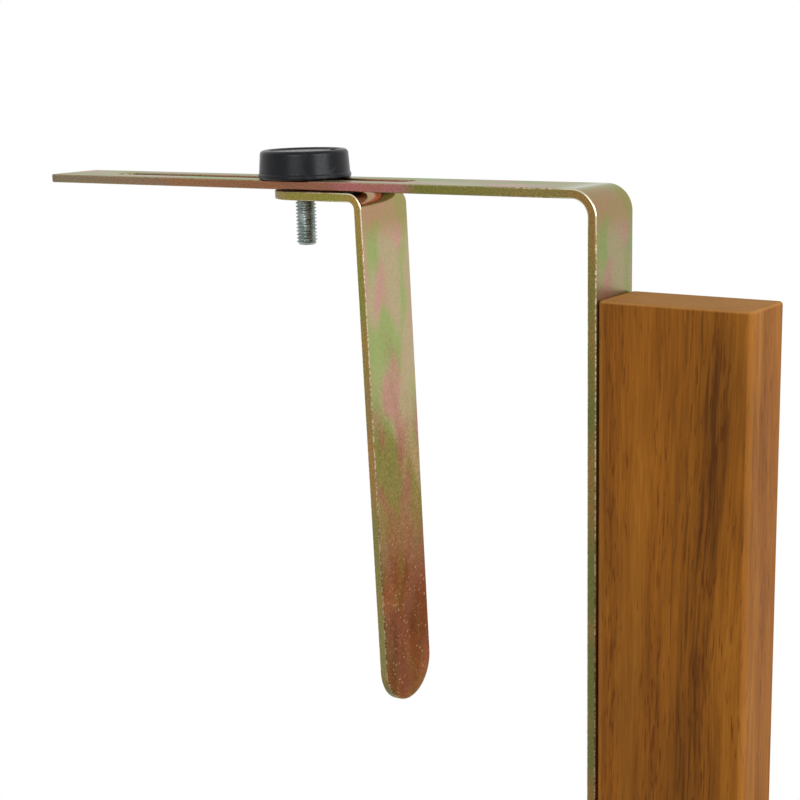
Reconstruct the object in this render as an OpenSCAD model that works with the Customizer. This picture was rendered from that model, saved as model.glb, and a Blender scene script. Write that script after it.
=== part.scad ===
// Folding balcony table that hangs from a railing on two steel hooks.
// X runs out from the railing, Y runs along it and Z is up. The origin lies midway
// between the hooks, where the underside of their arms meets the rear of their straps.
// All sizes are in millimetres and all angles in degrees.

/* [Hooks] */
// Distance between the middles of the two hooks
hook_pitch = 460; // [320:10:500]
// Width of the flat steel strap
strap_w = 20; // [16:1:26]
// Thickness of the flat steel strap
strap_t = 2.5; // [2:0.5:4]
// Reach of the arm over the railing, from the rear of the strap to the tip
arm_reach = 190; // [180:5:240]
// Inside radius of the bend between arm and strap
hook_bend_r = 4.5; // [3:0.5:8]
// Radius of the sheared corners of the strap
strap_corner_r = 1.5; // [0.5:0.5:3]
// Drop from the underside of the arm to the top of the upright
upright_drop = 25; // [15:1:40]
// Length of strap that lies on the upright
strap_grip = 190; // [120:5:195]
// Length of the slot in the arm, round ends included
slot_l = 110; // [80:5:115]
// Width of the slot in the arm
slot_w = 6.6; // [6.3:0.1:8]
// Distance from the rear of the strap to the near end of the slot
slot_start = 58.5; // [50:0.5:62]

/* [Clamps] */
// Distance from the rear of the strap to the clamp bolt as the table is stored
clamp_x = 96; // [85:0.5:120]
// Width of the clamp bracket
bracket_w = 22; // [16:1:24]
// Thickness of the clamp bracket
bracket_t = 2.5; // [2:0.5:4]
// Distance from the bolt hole to the short end of the bracket
bracket_end = 8; // [7:0.5:12]
// Distance from the bolt hole to the gripping face of the bracket
bracket_reach = 27.5; // [22:0.5:36]
// Drop of the bracket's leg below its arm
bracket_drop = 148; // [100:2:180]
// Inside radius of the bracket's bend
bracket_bend_r = 2; // [1:0.5:5]
// Lean of the bracket's leg towards the strap
bracket_lean = 2; // [0:0.2:5]
// Gap between the arm and the bracket's arm under it
bracket_gap = 0.35; // [0.1:0.05:0.8]
// Diameter of the clamp bolt's thread
clamp_bolt_d = 6; // [5:0.5:6]
// Length of the clamp bolt under its head
clamp_bolt_l = 20; // [18:1:24]
// Width across the flats of the clamp bolt's head
clamp_head_af = 10; // [8:0.5:11]
// Height of the clamp bolt's head
clamp_head_h = 4; // [3:0.5:5]
// Diameter of the knob at its foot
knob_d = 26.6; // [22:0.2:34]
// Draft of the knob's side, as the loss of radius up its height
knob_draft = 0.7; // [0:0.1:1.5]
// Height of the knob
knob_h = 8; // [7.5:0.5:14]
// Radius of the knob's upper edge
knob_edge_r = 1.6; // [0.5:0.1:2.5]
// Depth of the dish in the knob's top
knob_dish = 0.5; // [0.2:0.1:1]
// Thickness of the knob's floor under the bolt's head
knob_floor = 1; // [0.8:0.1:2]
// Gap between the knob and the arm
knob_gap = 0.15; // [0.1:0.05:0.5]

/* [Uprights and rear rails] */
// Length of the uprights
upright_l = 630; // [620:5:700]
// Depth of the uprights, out from the railing
upright_depth = 41; // [36:1:48]
// Thickness of the uprights, along the railing
upright_t = 19.5; // [17:0.5:24]
// How far each upright's inner face is set back from the edge of its strap
upright_inset = 0.5; // [0.5:0.1:2]
// Thickness of the rear rails
rail_t = 18; // [15:1:18]
// Height of the rear rails
rail_h = 40; // [30:1:50]
// Distance from the top of the uprights to the upper rail
upper_rail_drop = 243; // [238:1:260]
// Distance from the lower end of the uprights to the lower rail
lower_rail_rise = 40; // [20:5:80]
// Radius of the eased long edges of the wood
edge_r = 1.5; // [1:0.5:4]

/* [Tabletop] */
// Length of the slats, along the railing
slat_l = 600; // [560:10:700]
// Width of one slat
slat_w = 43; // [38:1:46]
// Thickness of the slats
slat_t = 18; // [15:1:22]
// Gap between two slats
slat_gap = 6; // [4:0.5:8]
// Drop from the underside of the hooks' arms to the tabletop
top_drop = 195; // [190:1:210]
// Thickness of the two side aprons
apron_t = 18; // [15:1:22]
// Height of the side aprons
apron_h = 45; // [40:1:50]
// How far the aprons stop short of the tabletop's front edge
apron_setback = 5; // [3:1:8]
// Radius of the aprons' lower front corners
apron_corner_r = 25; // [10:1:30]
// Space between the folded slats and the front of the uprights
fold_space = 5; // [3:0.5:8]

/* [Prop] */
// Distance from the tabletop's pivots down to the prop's pivots
prop_pivot_drop = 120; // [115:1:130]
// Distance from the tabletop's pivots out to the bar that carries the tabletop
prop_reach = 200; // [195:1:205]
// Depth of the prop's legs, across the pivot
leg_depth = 20; // [18:0.5:22]
// Thickness of the prop's legs, along the railing
leg_t = 18; // [15:1:20]
// Diameter of the round bar across the top of the prop
bar_d = 18; // [14:1:18]
// Depth that the bar is let into each leg
bar_let_in = 10; // [6:1:12]
// Width of the flat rail across the prop
prop_rail_w = 30; // [20:1:36]
// Thickness of the flat rail across the prop
prop_rail_t = 14; // [10:1:16]
// Distance along the legs from the pivots to the flat rail
prop_rail_at = 140; // [135:1:150]
// Length of the catch blocks under the slats
catch_l = 70; // [68:1:72]
// Width of the catch blocks, along the railing
catch_w = 25; // [18:1:30]
// Depth of the catch blocks below the slats
catch_depth = 14; // [12:0.5:16]
// Length of the catch block behind the bar's middle
catch_back = 24; // [20:1:28]
// Wood left between the bar's seat and the slats
seat_roof = 4; // [3:0.5:5]
// Slope of the seat's open front, by which the bar leaves it
seat_slope = 16; // [10:1:17]
// Distance from the table's middle to the middle of each catch block
catch_y = 165; // [80:5:180]

/* [Hardware] */
// Diameter of the pivot bolts
pivot_d = 8; // [6:0.5:8]
// Width across the flats of the pivot bolts' heads and nuts
pivot_af = 13; // [11:0.5:14]
// Height of the pivot bolts' heads
pivot_head_h = 5.3; // [4:0.1:6]
// Diameter of the washers
washer_d = 17; // [15:0.5:18]
// Thickness of the washers
washer_t = 1.6; // [1:0.1:2]
// Height of the six-sided part of the cap nuts
nut_h = 6.5; // [5:0.5:8]
// Full height of the cap nuts
cap_nut_h = 12; // [11:0.5:14]
// Depth of thread in the cap nuts
cap_nut_thread = 8.8; // [7:0.1:10]
// Length of the prop's pivot bolts under their heads
prop_bolt_l = 30; // [28:1:32]
// Diameter of the threaded inserts in the uprights
insert_d = 12; // [11:0.5:14]
// Length of the threaded inserts
insert_l = 13; // [10:0.5:14]
// Diameter of the wood screws
screw_d = 4; // [3:0.5:4.5]
// Diameter of the wood screws' countersunk heads
screw_head_d = 8; // [7:0.5:8]
// Length of the screws that hold the straps
strap_screw_l = 30; // [20:1:34]
// Distance from the upright's top to the first strap screw
strap_screw_first = 20; // [12:1:30]
// Length of the screws that hold the rear rails
frame_screw_l = 50; // [40:1:60]
// Length of the screws that hold the slats
slat_screw_l = 42; // [30:1:44]
// Length of the screws that hold the catch blocks
catch_screw_l = 25; // [18:1:28]
// Length of the screws that hold the prop's flat rail
prop_screw_l = 40; // [30:1:45]

/* [Clearances] */
// Play at each side of a joint between a turning board and its washers
side_play = 0.2; // [0.1:0.05:0.4]
// Play all round a pivot bolt in the board that turns on it
pivot_fit = 0.1; // [0.05:0.01:0.1]
// Play all round the clamp bolt in its bracket
thread_fit = 0.05; // [0.02:0.01:0.1]
// Play all round parts that are fixed in a hole
fixed_fit = 0.05; // [0.02:0.01:0.1]
// Play all round the prop's bar in its seats
seat_play = 0.3; // [0.2:0.05:0.5]

/* [Hidden] */
$fn = 64;
slat_count = 8;
screws_per_strap = 3;
overrun = 1;

hook_y = hook_pitch / 2;
strap_foot = -upright_drop - strap_grip;
upright_x = strap_t;
upright_front = strap_t + upright_depth;
upright_in = hook_y - strap_w / 2 + upright_inset;
upright_out = upright_in + upright_t;
upright_top = -upright_drop;
upright_foot = upright_top - upright_l;

// The tabletop's pivot sits in the middle of the upright's depth, and just so far under
// the slats that they hang clear of the uprights when the tabletop is down.
pivot_x = strap_t + upright_depth / 2;
slat_top = -top_drop;
slat_under = slat_top - slat_t;
slat_over_pivot = upright_depth / 2 + fold_space;
pivot_z = slat_under - slat_over_pivot;
slat_x = pivot_x + slat_over_pivot;
slat_pitch = slat_w + slat_gap;
top_front = slat_x + slat_count * slat_pitch - slat_gap;

apron_in = upright_out + washer_t + side_play;
apron_out = apron_in + apron_t;
apron_front = top_front - apron_setback;
apron_foot = slat_under - apron_h;

// The prop's legs stand just in front of the rear rails, and flush with the uprights.
prop_x = upright_front - leg_depth / 2;
prop_z = pivot_z - prop_pivot_drop;
leg_out = upright_in - washer_t - side_play;
leg_in = leg_out - leg_t;
bar_x = pivot_x + prop_reach;
seat_r = bar_d / 2 + seat_play;
seat_lip = 0.05;
bar_z = slat_under - seat_roof - seat_r;
prop_l = norm([bar_x - prop_x, bar_z - prop_z]);
prop_angle = atan2(bar_z - prop_z, bar_x - prop_x);

bend_steps = 12;
bracket_outer_r = bracket_bend_r + bracket_t;
bracket_bend_x = bracket_reach - bracket_outer_r;
bracket_leg = (bracket_drop - bracket_outer_r) / cos(bracket_lean);
clamp_bolt_tip_r = clamp_bolt_d * 3 / 8;

upper_rail_z = upright_top - upper_rail_drop - rail_h;
lower_rail_z = upright_foot + lower_rail_rise;
catch_x = bar_x - catch_back;

// The prop's bolt has a washer on each side of the leg before it enters the upright.
prop_head_y = leg_in - side_play - washer_t;
prop_bolt_tip = prop_head_y + prop_bolt_l;
leaf_head_y = apron_out + side_play + washer_t;
nut_y = upright_in - washer_t;
bolt_tip_space = 0.5;

slot_end = slot_start + slot_l;
screw_head_r = screw_head_d / 2;
screw_r = screw_d / 2;
strap_screw_pitch = (strap_grip - 2 * strap_screw_first) / (screws_per_strap - 1);

// Two screws share a board's width at a quarter and three quarters of it.
function pair_spread(w) = w / 4;

SLATS = [for (i = [1:slat_count]) str("slat_", i)];
PAIRS = [
    "upright", "hook_strap", "clamp_bracket", "knob_cap", "knob_bolt",
    "apron", "catch_block", "prop_leg"
];

acacia = "#8a5226";
zinc_yellow = "#a59a62";
zinc_blue = "#8d9492";
black_plastic = "#2b2d31";
brass_insert = "#a88a4a";

// Helpers

// A rectangle with round corners, with one corner of its box at the origin
module round_rect(w, h, r) {
    translate([r, 0])
        square([w - 2 * r, h]);
    translate([0, r])
        square([w, h - 2 * r]);
    for (x = [r, w - r], y = [r, h - r])
        translate([x, y])
            circle(r = r);
}

// A drawing in X and Z, given its depth along Y
module along_y(y0, y1) {
    translate([0, y1, 0])
        rotate([90, 0, 0])
            linear_extrude(y1 - y0)
                children();
}

// A length of board along X, with eased edges: t thick along Y and h high about the origin
module board_x(l, t, h) {
    translate([0, 0, -h / 2])
        rotate([90, 0, 90])
            linear_extrude(l)
                round_rect(t, h, edge_r);
}

// The round end of such a board, turned about the origin
module board_end(t, h) {
    rotate([-90, 0, 0])
        rotate_extrude()
            intersection() {
                translate([-h / 2, 0])
                    round_rect(h, t, edge_r);
                square([h / 2, t]);
            }
}

// A round bar or hole along Y
module rod_y(x, z, y0, y1, r) {
    along_y(y0, y1)
        translate([x, z])
            circle(r = r);
}

// A washer along Y
module washer_y(x, z, y0) {
    along_y(y0, y0 + washer_t)
        translate([x, z])
            difference() {
                circle(d = washer_d);
                circle(r = pivot_d / 2 + fixed_fit);
            }
}

// What is cut from a square corner at the origin to leave it round
module corner_cut(r, h) {
    translate([0, 0, -overrun])
        linear_extrude(h + 2 * overrun)
            difference() {
                translate([-overrun, -overrun])
                    square(r + overrun);
                translate([r, r])
                    circle(r = r);
            }
}

// Rounds both corners of a flat end that faces -X, on a strip w wide along Y
module round_end_cut(w, r, h) {
    for (s = [0, 1])
        mirror([0, s, 0])
            translate([0, -w / 2, 0])
                corner_cut(r, h);
}

// A countersunk wood screw that points down from the origin
module wood_screw(l) {
    neck = screw_head_r - screw_r;
    rotate_extrude()
        polygon([[0, 0], [screw_head_r, 0], [screw_r, -neck], [screw_r, screw_d - l], [0, -l]]);
}

// The hole that a wood screw fills
module wood_screw_hole(l) {
    neck = screw_head_r - screw_r;
    wide = screw_head_r + fixed_fit;
    slim = screw_r + fixed_fit;
    rotate_extrude()
        polygon([[0, overrun], [wide, overrun], [wide, 0], [slim, -neck], [slim, -l], [0, -l]]);
}

// Puts what is made for the right side, at +Y, on the side that is named
module on_side(side) {
    mirror([0, side == "left" ? 1 : 0, 0])
        children();
}

module on_both_sides() {
    for (side = ["left", "right"])
        on_side(side)
            children();
}

// Screw places, used for the screws and for their holes

module at_strap_screws() {
    for (i = [0:screws_per_strap - 1])
        translate([0, hook_y, upright_top - strap_screw_first - i * strap_screw_pitch])
            rotate([0, -90, 0])
                children();
}

module at_frame_screws() {
    for (z = [upper_rail_z, lower_rail_z], s = [-1, 1])
        translate([upright_x + rail_t / 2, upright_out, z + rail_h / 2 + s * pair_spread(rail_h)])
            rotate([-90, 0, 0])
                children();
}

module at_slat_screws(i) {
    for (s = [-1, 1])
        translate([
            slat_x + (i - 1) * slat_pitch + slat_w / 2 + s * pair_spread(slat_w),
            apron_in + apron_t / 2,
            slat_top
        ])
            children();
}

module at_catch_screws() {
    for (x = [catch_x + screw_head_d, catch_x + catch_l - screw_head_d])
        translate([x, catch_y, slat_under - catch_depth])
            mirror([0, 0, 1])
                children();
}

module at_prop_screws() {
    for (s = [-1, 1])
        in_prop()
            translate([prop_rail_at + prop_rail_w / 2 + s * pair_spread(prop_rail_w), leg_out, 0])
                rotate([-90, 0, 0])
                    children();
}

// Uprights and rear rails

module upright() {
    color(acacia)
        difference() {
            translate([upright_x, upright_in, upright_foot])
                linear_extrude(upright_l)
                    round_rect(upright_depth, upright_t, edge_r);
            at_strap_screws()
                wood_screw_hole(strap_screw_l);
            at_frame_screws()
                wood_screw_hole(frame_screw_l);
            rod_y(pivot_x, pivot_z, upright_in - overrun, upright_out + overrun,
                pivot_d / 2 + fixed_fit);
            rod_y(prop_x, prop_z, upright_in - overrun,
                max(upright_in + insert_l, prop_bolt_tip) + fixed_fit, insert_d / 2 + fixed_fit);
        }
}

module rear_rail(z) {
    color(acacia)
        difference() {
            along_y(-upright_in, upright_in)
                translate([upright_x, z])
                    round_rect(rail_t, rail_h, edge_r);
            on_both_sides()
                at_frame_screws()
                    wood_screw_hole(frame_screw_l);
        }
}

module frame_screws() {
    color(zinc_blue)
        on_both_sides()
            at_frame_screws()
                wood_screw(frame_screw_l);
}

// Hooks

module hook_profile() {
    outer_r = hook_bend_r + strap_t;
    translate([-arm_reach, 0])
        square([arm_reach - hook_bend_r, strap_t]);
    translate([0, strap_foot])
        square([strap_t, -strap_foot - hook_bend_r]);
    translate([-hook_bend_r, -hook_bend_r])
        difference() {
            intersection() {
                circle(r = outer_r);
                square(outer_r);
            }
            circle(r = hook_bend_r);
        }
}

module slot_hole() {
    reach = slot_l / 2 - slot_w / 2;
    translate([-(slot_start + slot_end) / 2, hook_y, -overrun])
        linear_extrude(strap_t + 2 * overrun) {
            square([2 * reach, slot_w], center = true);
            for (s = [-1, 1])
                translate([s * reach, 0])
                    circle(d = slot_w);
        }
}

module hook_strap() {
    color(zinc_yellow)
        difference() {
            along_y(hook_y - strap_w / 2, hook_y + strap_w / 2)
                hook_profile();
            slot_hole();
            translate([-arm_reach, hook_y, 0])
                round_end_cut(strap_w, strap_corner_r, strap_t);
            translate([strap_t, hook_y, strap_foot])
                rotate([0, -90, 0])
                    round_end_cut(strap_w, strap_corner_r, strap_t);
            at_strap_screws()
                wood_screw_hole(strap_screw_l);
        }
}

module strap_screws() {
    color(zinc_yellow)
        on_both_sides()
            at_strap_screws()
                wood_screw(strap_screw_l);
}

// Clamps

// The bracket's bent strip, drawn from its bolt hole, with its upper face at zero: one line
// runs along the outside of the bend and the other comes back along the inside
function bracket_line(r, angles) = [
    for (a = angles) [bracket_bend_x, -bracket_outer_r] + r * [sin(a), cos(a)]
];

module bracket_profile() {
    turn = 90 - bracket_lean;
    step = turn / bend_steps;
    foot = [sin(bracket_lean), -cos(bracket_lean)] * bracket_leg;
    polygon(concat(
        [[-bracket_end, 0]],
        bracket_line(bracket_outer_r, [0:step:turn]),
        bracket_line(bracket_outer_r, [turn]) + [foot],
        bracket_line(bracket_bend_r, [turn]) + [foot],
        bracket_line(bracket_bend_r, [turn:-step:0]),
        [[-bracket_end, -bracket_t]]
    ));
}

module clamp_bracket() {
    color(zinc_yellow)
        translate([-clamp_x, hook_y, -bracket_gap])
            difference() {
                along_y(-bracket_w / 2, bracket_w / 2)
                    bracket_profile();
                translate([0, 0, -bracket_t - overrun])
                    cylinder(r = clamp_bolt_d / 2 + thread_fit, h = bracket_t + 2 * overrun);
                translate([-bracket_end, 0, -bracket_t])
                    round_end_cut(bracket_w, bracket_w / 2, bracket_t);
                translate([bracket_bend_x, 0, -bracket_outer_r])
                    rotate([0, -bracket_lean, 0])
                        translate([bracket_outer_r, 0, -bracket_leg])
                            rotate([0, -90, 0])
                                round_end_cut(bracket_w, bracket_w / 2, bracket_t);
            }
}

module knob_profile() {
    r = knob_d / 2;
    top_r = r - knob_draft;
    dish_r = top_r - knob_edge_r;
    arc = [for (a = [0:15:90]) [dish_r, knob_h - knob_edge_r] + knob_edge_r * [cos(a), sin(a)]];
    polygon(concat(
        [[0, 0], [r - knob_dish, 0], [r, knob_dish]],
        arc,
        [[dish_r - 2 * knob_dish, knob_h - knob_dish], [0, knob_h - knob_dish]]
    ));
}

module six_sided(af, h) {
    cylinder(d = af / cos(30), h = h, $fn = 6);
}

module knob_cap() {
    color(black_plastic)
        translate([-clamp_x, hook_y, strap_t + knob_gap])
            difference() {
                rotate_extrude()
                    knob_profile();
                translate([0, 0, -overrun])
                    cylinder(r = clamp_bolt_d / 2 + fixed_fit, h = knob_h / 2);
                translate([0, 0, knob_floor])
                    six_sided(clamp_head_af + 2 * fixed_fit, clamp_head_h + fixed_fit);
            }
}

module knob_bolt() {
    r = clamp_bolt_d / 2;
    color(zinc_blue)
        translate([-clamp_x, hook_y, strap_t + knob_gap + knob_floor]) {
            six_sided(clamp_head_af, clamp_head_h);
            mirror([0, 0, 1])
                rotate_extrude()
                    polygon([
                        [0, 0],
                        [r, 0],
                        [r, clamp_bolt_l + clamp_bolt_tip_r - r],
                        [clamp_bolt_tip_r, clamp_bolt_l],
                        [0, clamp_bolt_l]
                    ]);
        }
}

// Tabletop

// The apron's round rear end stays in front of the uprights' rear faces as it turns
module apron() {
    round_x = upright_x + apron_h / 2;
    color(acacia)
        difference() {
            translate([round_x, apron_in, slat_under - apron_h / 2]) {
                board_end(apron_t, apron_h);
                board_x(apron_front - round_x, apron_t, apron_h);
            }
            translate([apron_front, apron_out, apron_foot])
                rotate([90, 0, 0])
                    mirror([1, 0, 0])
                        corner_cut(apron_corner_r, apron_t);
            rod_y(pivot_x, pivot_z, apron_in - overrun, apron_out + overrun,
                pivot_d / 2 + pivot_fit);
            for (i = [1:slat_count])
                at_slat_screws(i)
                    wood_screw_hole(slat_screw_l);
        }
}

module slat(i) {
    color(acacia)
        difference() {
            along_y(-slat_l / 2, slat_l / 2)
                translate([slat_x + (i - 1) * slat_pitch, slat_under])
                    round_rect(slat_w, slat_t, edge_r);
            on_both_sides() {
                at_slat_screws(i)
                    wood_screw_hole(slat_screw_l);
                at_catch_screws()
                    wood_screw_hole(catch_screw_l);
            }
        }
}

module slat_screws() {
    color(zinc_blue)
        on_both_sides()
            for (i = [1:slat_count])
                at_slat_screws(i)
                    wood_screw(slat_screw_l);
}

// The block's seat holds the bar from behind and above, and slopes away in front, past a
// lip so low that the bar clears it
module catch_profile() {
    run = 2 * catch_l;
    difference() {
        translate([catch_x, slat_under - catch_depth])
            square([catch_l, catch_depth]);
        translate([bar_x, bar_z])
            circle(r = seat_r);
        translate([bar_x - seat_r, bar_z - catch_depth])
            square([seat_r, catch_depth]);
        translate([bar_x, bar_z])
            rotate(-seat_slope)
                translate([0, -catch_depth - run])
                    square([run, run + catch_depth + seat_r - seat_lip]);
    }
}

module catch_block() {
    color(acacia)
        difference() {
            along_y(catch_y - catch_w / 2, catch_y + catch_w / 2)
                catch_profile();
            at_catch_screws()
                wood_screw_hole(catch_screw_l);
        }
}

module catch_screws() {
    color(zinc_blue)
        on_both_sides()
            at_catch_screws()
                wood_screw(catch_screw_l);
}

// Tabletop pivots

module leaf_pivot_bolts() {
    color(zinc_blue)
        on_both_sides() {
            translate([pivot_x, leaf_head_y, pivot_z])
                rotate([-90, 0, 0])
                    six_sided(pivot_af, pivot_head_h);
            rod_y(pivot_x, pivot_z, nut_y - cap_nut_thread + bolt_tip_space, leaf_head_y,
                pivot_d / 2);
        }
}

module leaf_pivot_washers() {
    color(zinc_blue)
        on_both_sides() {
            washer_y(pivot_x, pivot_z, nut_y);
            washer_y(pivot_x, pivot_z, upright_out);
            washer_y(pivot_x, pivot_z, apron_out + side_play);
        }
}

module leaf_pivot_nuts() {
    dome_r = cap_nut_h - nut_h;
    color(zinc_blue)
        on_both_sides()
            translate([pivot_x, nut_y, pivot_z])
                rotate([90, 0, 0])
                    difference() {
                        union() {
                            six_sided(pivot_af, nut_h);
                            translate([0, 0, nut_h])
                                sphere(r = dome_r);
                        }
                        translate([0, 0, -overrun])
                            cylinder(r = pivot_d / 2 + fixed_fit, h = cap_nut_thread + overrun);
                    }
}

// Prop

// The prop's own frame: its pivots at the origin and its legs along X
module in_prop() {
    translate([prop_x, 0, prop_z])
        rotate([0, -prop_angle, 0])
            children();
}

module prop_leg() {
    color(acacia)
        difference() {
            in_prop()
                translate([0, leg_in, 0]) {
                    board_x(prop_l, leg_t, leg_depth);
                    for (x = [0, prop_l])
                        translate([x, 0, 0])
                            board_end(leg_t, leg_depth);
                }
            rod_y(prop_x, prop_z, leg_in - overrun, leg_out + overrun, pivot_d / 2 + pivot_fit);
            rod_y(bar_x, bar_z, leg_in - overrun, leg_in + bar_let_in, bar_d / 2 + fixed_fit);
            at_prop_screws()
                wood_screw_hole(prop_screw_l);
        }
}

module prop_bar() {
    reach = leg_in + bar_let_in;
    color(acacia)
        rod_y(bar_x, bar_z, -reach, reach, bar_d / 2);
}

module prop_rail() {
    color(acacia)
        difference() {
            in_prop()
                along_y(-leg_in, leg_in)
                    translate([prop_rail_at, -prop_rail_t / 2])
                        round_rect(prop_rail_w, prop_rail_t, edge_r);
            on_both_sides()
                at_prop_screws()
                    wood_screw_hole(prop_screw_l);
        }
}

module prop_screws() {
    color(zinc_blue)
        on_both_sides()
            at_prop_screws()
                wood_screw(prop_screw_l);
}

module prop_pivot_bolts() {
    color(zinc_blue)
        on_both_sides() {
            translate([prop_x, prop_head_y, prop_z])
                rotate([90, 0, 0])
                    six_sided(pivot_af, pivot_head_h);
            rod_y(prop_x, prop_z, prop_head_y, prop_bolt_tip, pivot_d / 2);
        }
}

module prop_pivot_washers() {
    color(zinc_blue)
        on_both_sides() {
            washer_y(prop_x, prop_z, prop_head_y);
            washer_y(prop_x, prop_z, leg_out + side_play);
        }
}

module prop_insert_nuts() {
    color(brass_insert)
        on_both_sides()
            along_y(upright_in, upright_in + insert_l)
                translate([prop_x, prop_z])
                    difference() {
                        circle(d = insert_d);
                        circle(r = pivot_d / 2 + fixed_fit);
                    }
}

for (side = ["left", "right"]) {
    on_side(side) upright();
    on_side(side) hook_strap();
    on_side(side) clamp_bracket();
    on_side(side) knob_cap();
    on_side(side) knob_bolt();
    on_side(side) apron();
    on_side(side) catch_block();
    on_side(side) prop_leg();
}
for (i = [1:slat_count]) slat(i);
rear_rail(upper_rail_z);  // upper_rail
rear_rail(lower_rail_z);  // lower_rail
strap_screws();
frame_screws();
slat_screws();
catch_screws();
leaf_pivot_bolts();
leaf_pivot_washers();
leaf_pivot_nuts();
prop_bar();
prop_rail();
prop_screws();
prop_pivot_bolts();
prop_pivot_washers();
prop_insert_nuts();
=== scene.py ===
import itertools
import math

import bmesh
import bpy
import numpy as np
from mathutils import Matrix, Quaternion, Vector


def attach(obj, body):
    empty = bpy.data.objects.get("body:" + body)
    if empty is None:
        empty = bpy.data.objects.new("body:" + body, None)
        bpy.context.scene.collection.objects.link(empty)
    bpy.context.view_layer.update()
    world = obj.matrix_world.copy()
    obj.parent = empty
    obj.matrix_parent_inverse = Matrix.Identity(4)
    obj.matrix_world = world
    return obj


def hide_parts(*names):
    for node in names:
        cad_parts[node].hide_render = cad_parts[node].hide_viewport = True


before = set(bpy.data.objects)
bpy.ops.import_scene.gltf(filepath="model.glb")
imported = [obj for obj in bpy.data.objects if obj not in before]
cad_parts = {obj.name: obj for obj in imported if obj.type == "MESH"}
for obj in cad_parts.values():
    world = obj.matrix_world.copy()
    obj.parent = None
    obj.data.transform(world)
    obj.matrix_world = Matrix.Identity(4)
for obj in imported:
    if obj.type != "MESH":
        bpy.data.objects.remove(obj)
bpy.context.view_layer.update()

scene = bpy.context.scene
mm = 0.001
print("frame loaded:", len(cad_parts), "nodes")


# Nodes and colours

def linear(colour):
    parts = [int(colour[i:i + 2], 16) / 255 for i in (1, 3, 5)]
    return (*[c / 12.92 if c <= 0.04045 else ((c + 0.055) / 1.055) ** 2.4 for c in parts], 1.0)


def addNode(tree, kind, settings=None, inputs=None):
    # a node given as a value stands for its first open output
    node = tree.nodes.new(kind)
    for name, value in (settings or {}).items():
        if name == "stops":  # a ramp's (position, hex colour) pairs
            ramp = node.color_ramp.elements
            while len(ramp) < len(value):
                ramp.new(0.5)
            for stop, (position, colour) in zip(ramp, value):
                stop.position = position
                stop.color = linear(colour)
        else:
            setattr(node, name, value)
    for key, value in (inputs or {}).items():
        socket = node.inputs[key] if isinstance(key, int) else next(
            s for s in node.inputs if s.enabled and s.name == key)
        for each in value if isinstance(value, list) else [value]:
            if isinstance(each, bpy.types.Node):
                each = next(s for s in each.outputs if s.enabled)
            if isinstance(each, bpy.types.NodeSocket):
                tree.links.new(each, socket)
            else:
                socket.default_value = each
    return node


# settings that many nodes share
colourMix = {"data_type": "RGBA"}
softRange = {"interpolation_type": "SMOOTHSTEP"}


def newMaterial(name):
    material = bpy.data.materials.new(name)
    material.use_nodes = True
    material.node_tree.nodes.clear()
    return material, material.node_tree


# Shapes, all in millimetres until they are turned into a mesh

def addObject(name, data):
    obj = bpy.data.objects.new(name, data)
    scene.collection.objects.link(obj)
    return obj


def addMesh(name, points, faces):
    mesh = bpy.data.meshes.new(name)
    mesh.from_pydata([[c * mm for c in p] for p in points], [], faces)
    return addObject(name, mesh)


def addMark(obj, name, values):
    # a number, or three, kept on each point for the materials
    kind, key = ("FLOAT_VECTOR", "vector") if np.ndim(values) == 2 else ("FLOAT", "value")
    mark = obj.data.attributes.new(name, kind, "POINT")
    mark.data.foreach_set(key, np.asarray(values, np.float32).ravel())


def pointsOf(obj):
    points = np.zeros(len(obj.data.vertices) * 3)
    obj.data.vertices.foreach_get("co", points)
    return points.reshape(-1, 3)


def evaluated(obj):
    graph = bpy.context.evaluated_depsgraph_get()
    graph.update()
    mesh = bpy.data.meshes.new_from_object(obj.evaluated_get(graph), depsgraph=graph)
    obj.modifiers.clear()
    obj.data = mesh
    return obj


def outward(obj):
    shape = bmesh.new()
    shape.from_mesh(obj.data)
    bmesh.ops.recalc_face_normals(shape, faces=shape.faces)
    shape.to_mesh(obj.data)
    shape.free()
    return obj


def place(obj, origin, along, across):
    # a piece that was made along X, with its width along Y
    x, y = Vector(along).normalized(), Vector(across).normalized()
    matrix = Matrix((x, y, x.cross(y))).transposed().to_4x4()
    matrix.translation = Vector(origin) * mm
    obj.data.transform(matrix)
    return obj


def shift(obj, x, y, z):
    obj.data.transform(Matrix.Translation(Vector((x, y, z)) * mm))
    return obj


def cutOut(obj, cutter):
    cut = obj.modifiers.new("cut", "BOOLEAN")
    cut.operation = "DIFFERENCE"
    cut.solver = "EXACT"
    cut.object = cutter
    evaluated(obj)
    bpy.data.objects.remove(cutter)
    return obj


def join(name, pieces):
    shape = bmesh.new()
    for piece in pieces:
        shape.from_mesh(piece.data)
    mesh = bpy.data.meshes.new(name)
    shape.to_mesh(mesh)
    shape.free()
    for piece in pieces:
        bpy.data.objects.remove(piece)
    return addObject(name, mesh)


def smoothed(obj, angle):
    # soft shading across rounded edges, with the flat faces kept flat
    mesh = obj.data
    mesh.polygons.foreach_set("use_smooth", [True] * len(mesh.polygons))
    mesh.set_sharp_from_angle(angle=math.radians(angle))
    weighted = obj.modifiers.new("weighted", "WEIGHTED_NORMAL")
    weighted.keep_sharp = True
    weighted.weight = 60
    return evaluated(obj)


def finishPiece(obj, finish, body, stoodFor, angle=32):
    # a finish is a material and its slot in the record
    material, slot = finish
    smoothed(obj, angle)
    obj.data.materials.clear()
    obj.data.materials.append(material)
    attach(obj, body)
    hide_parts(*stoodFor)


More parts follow.
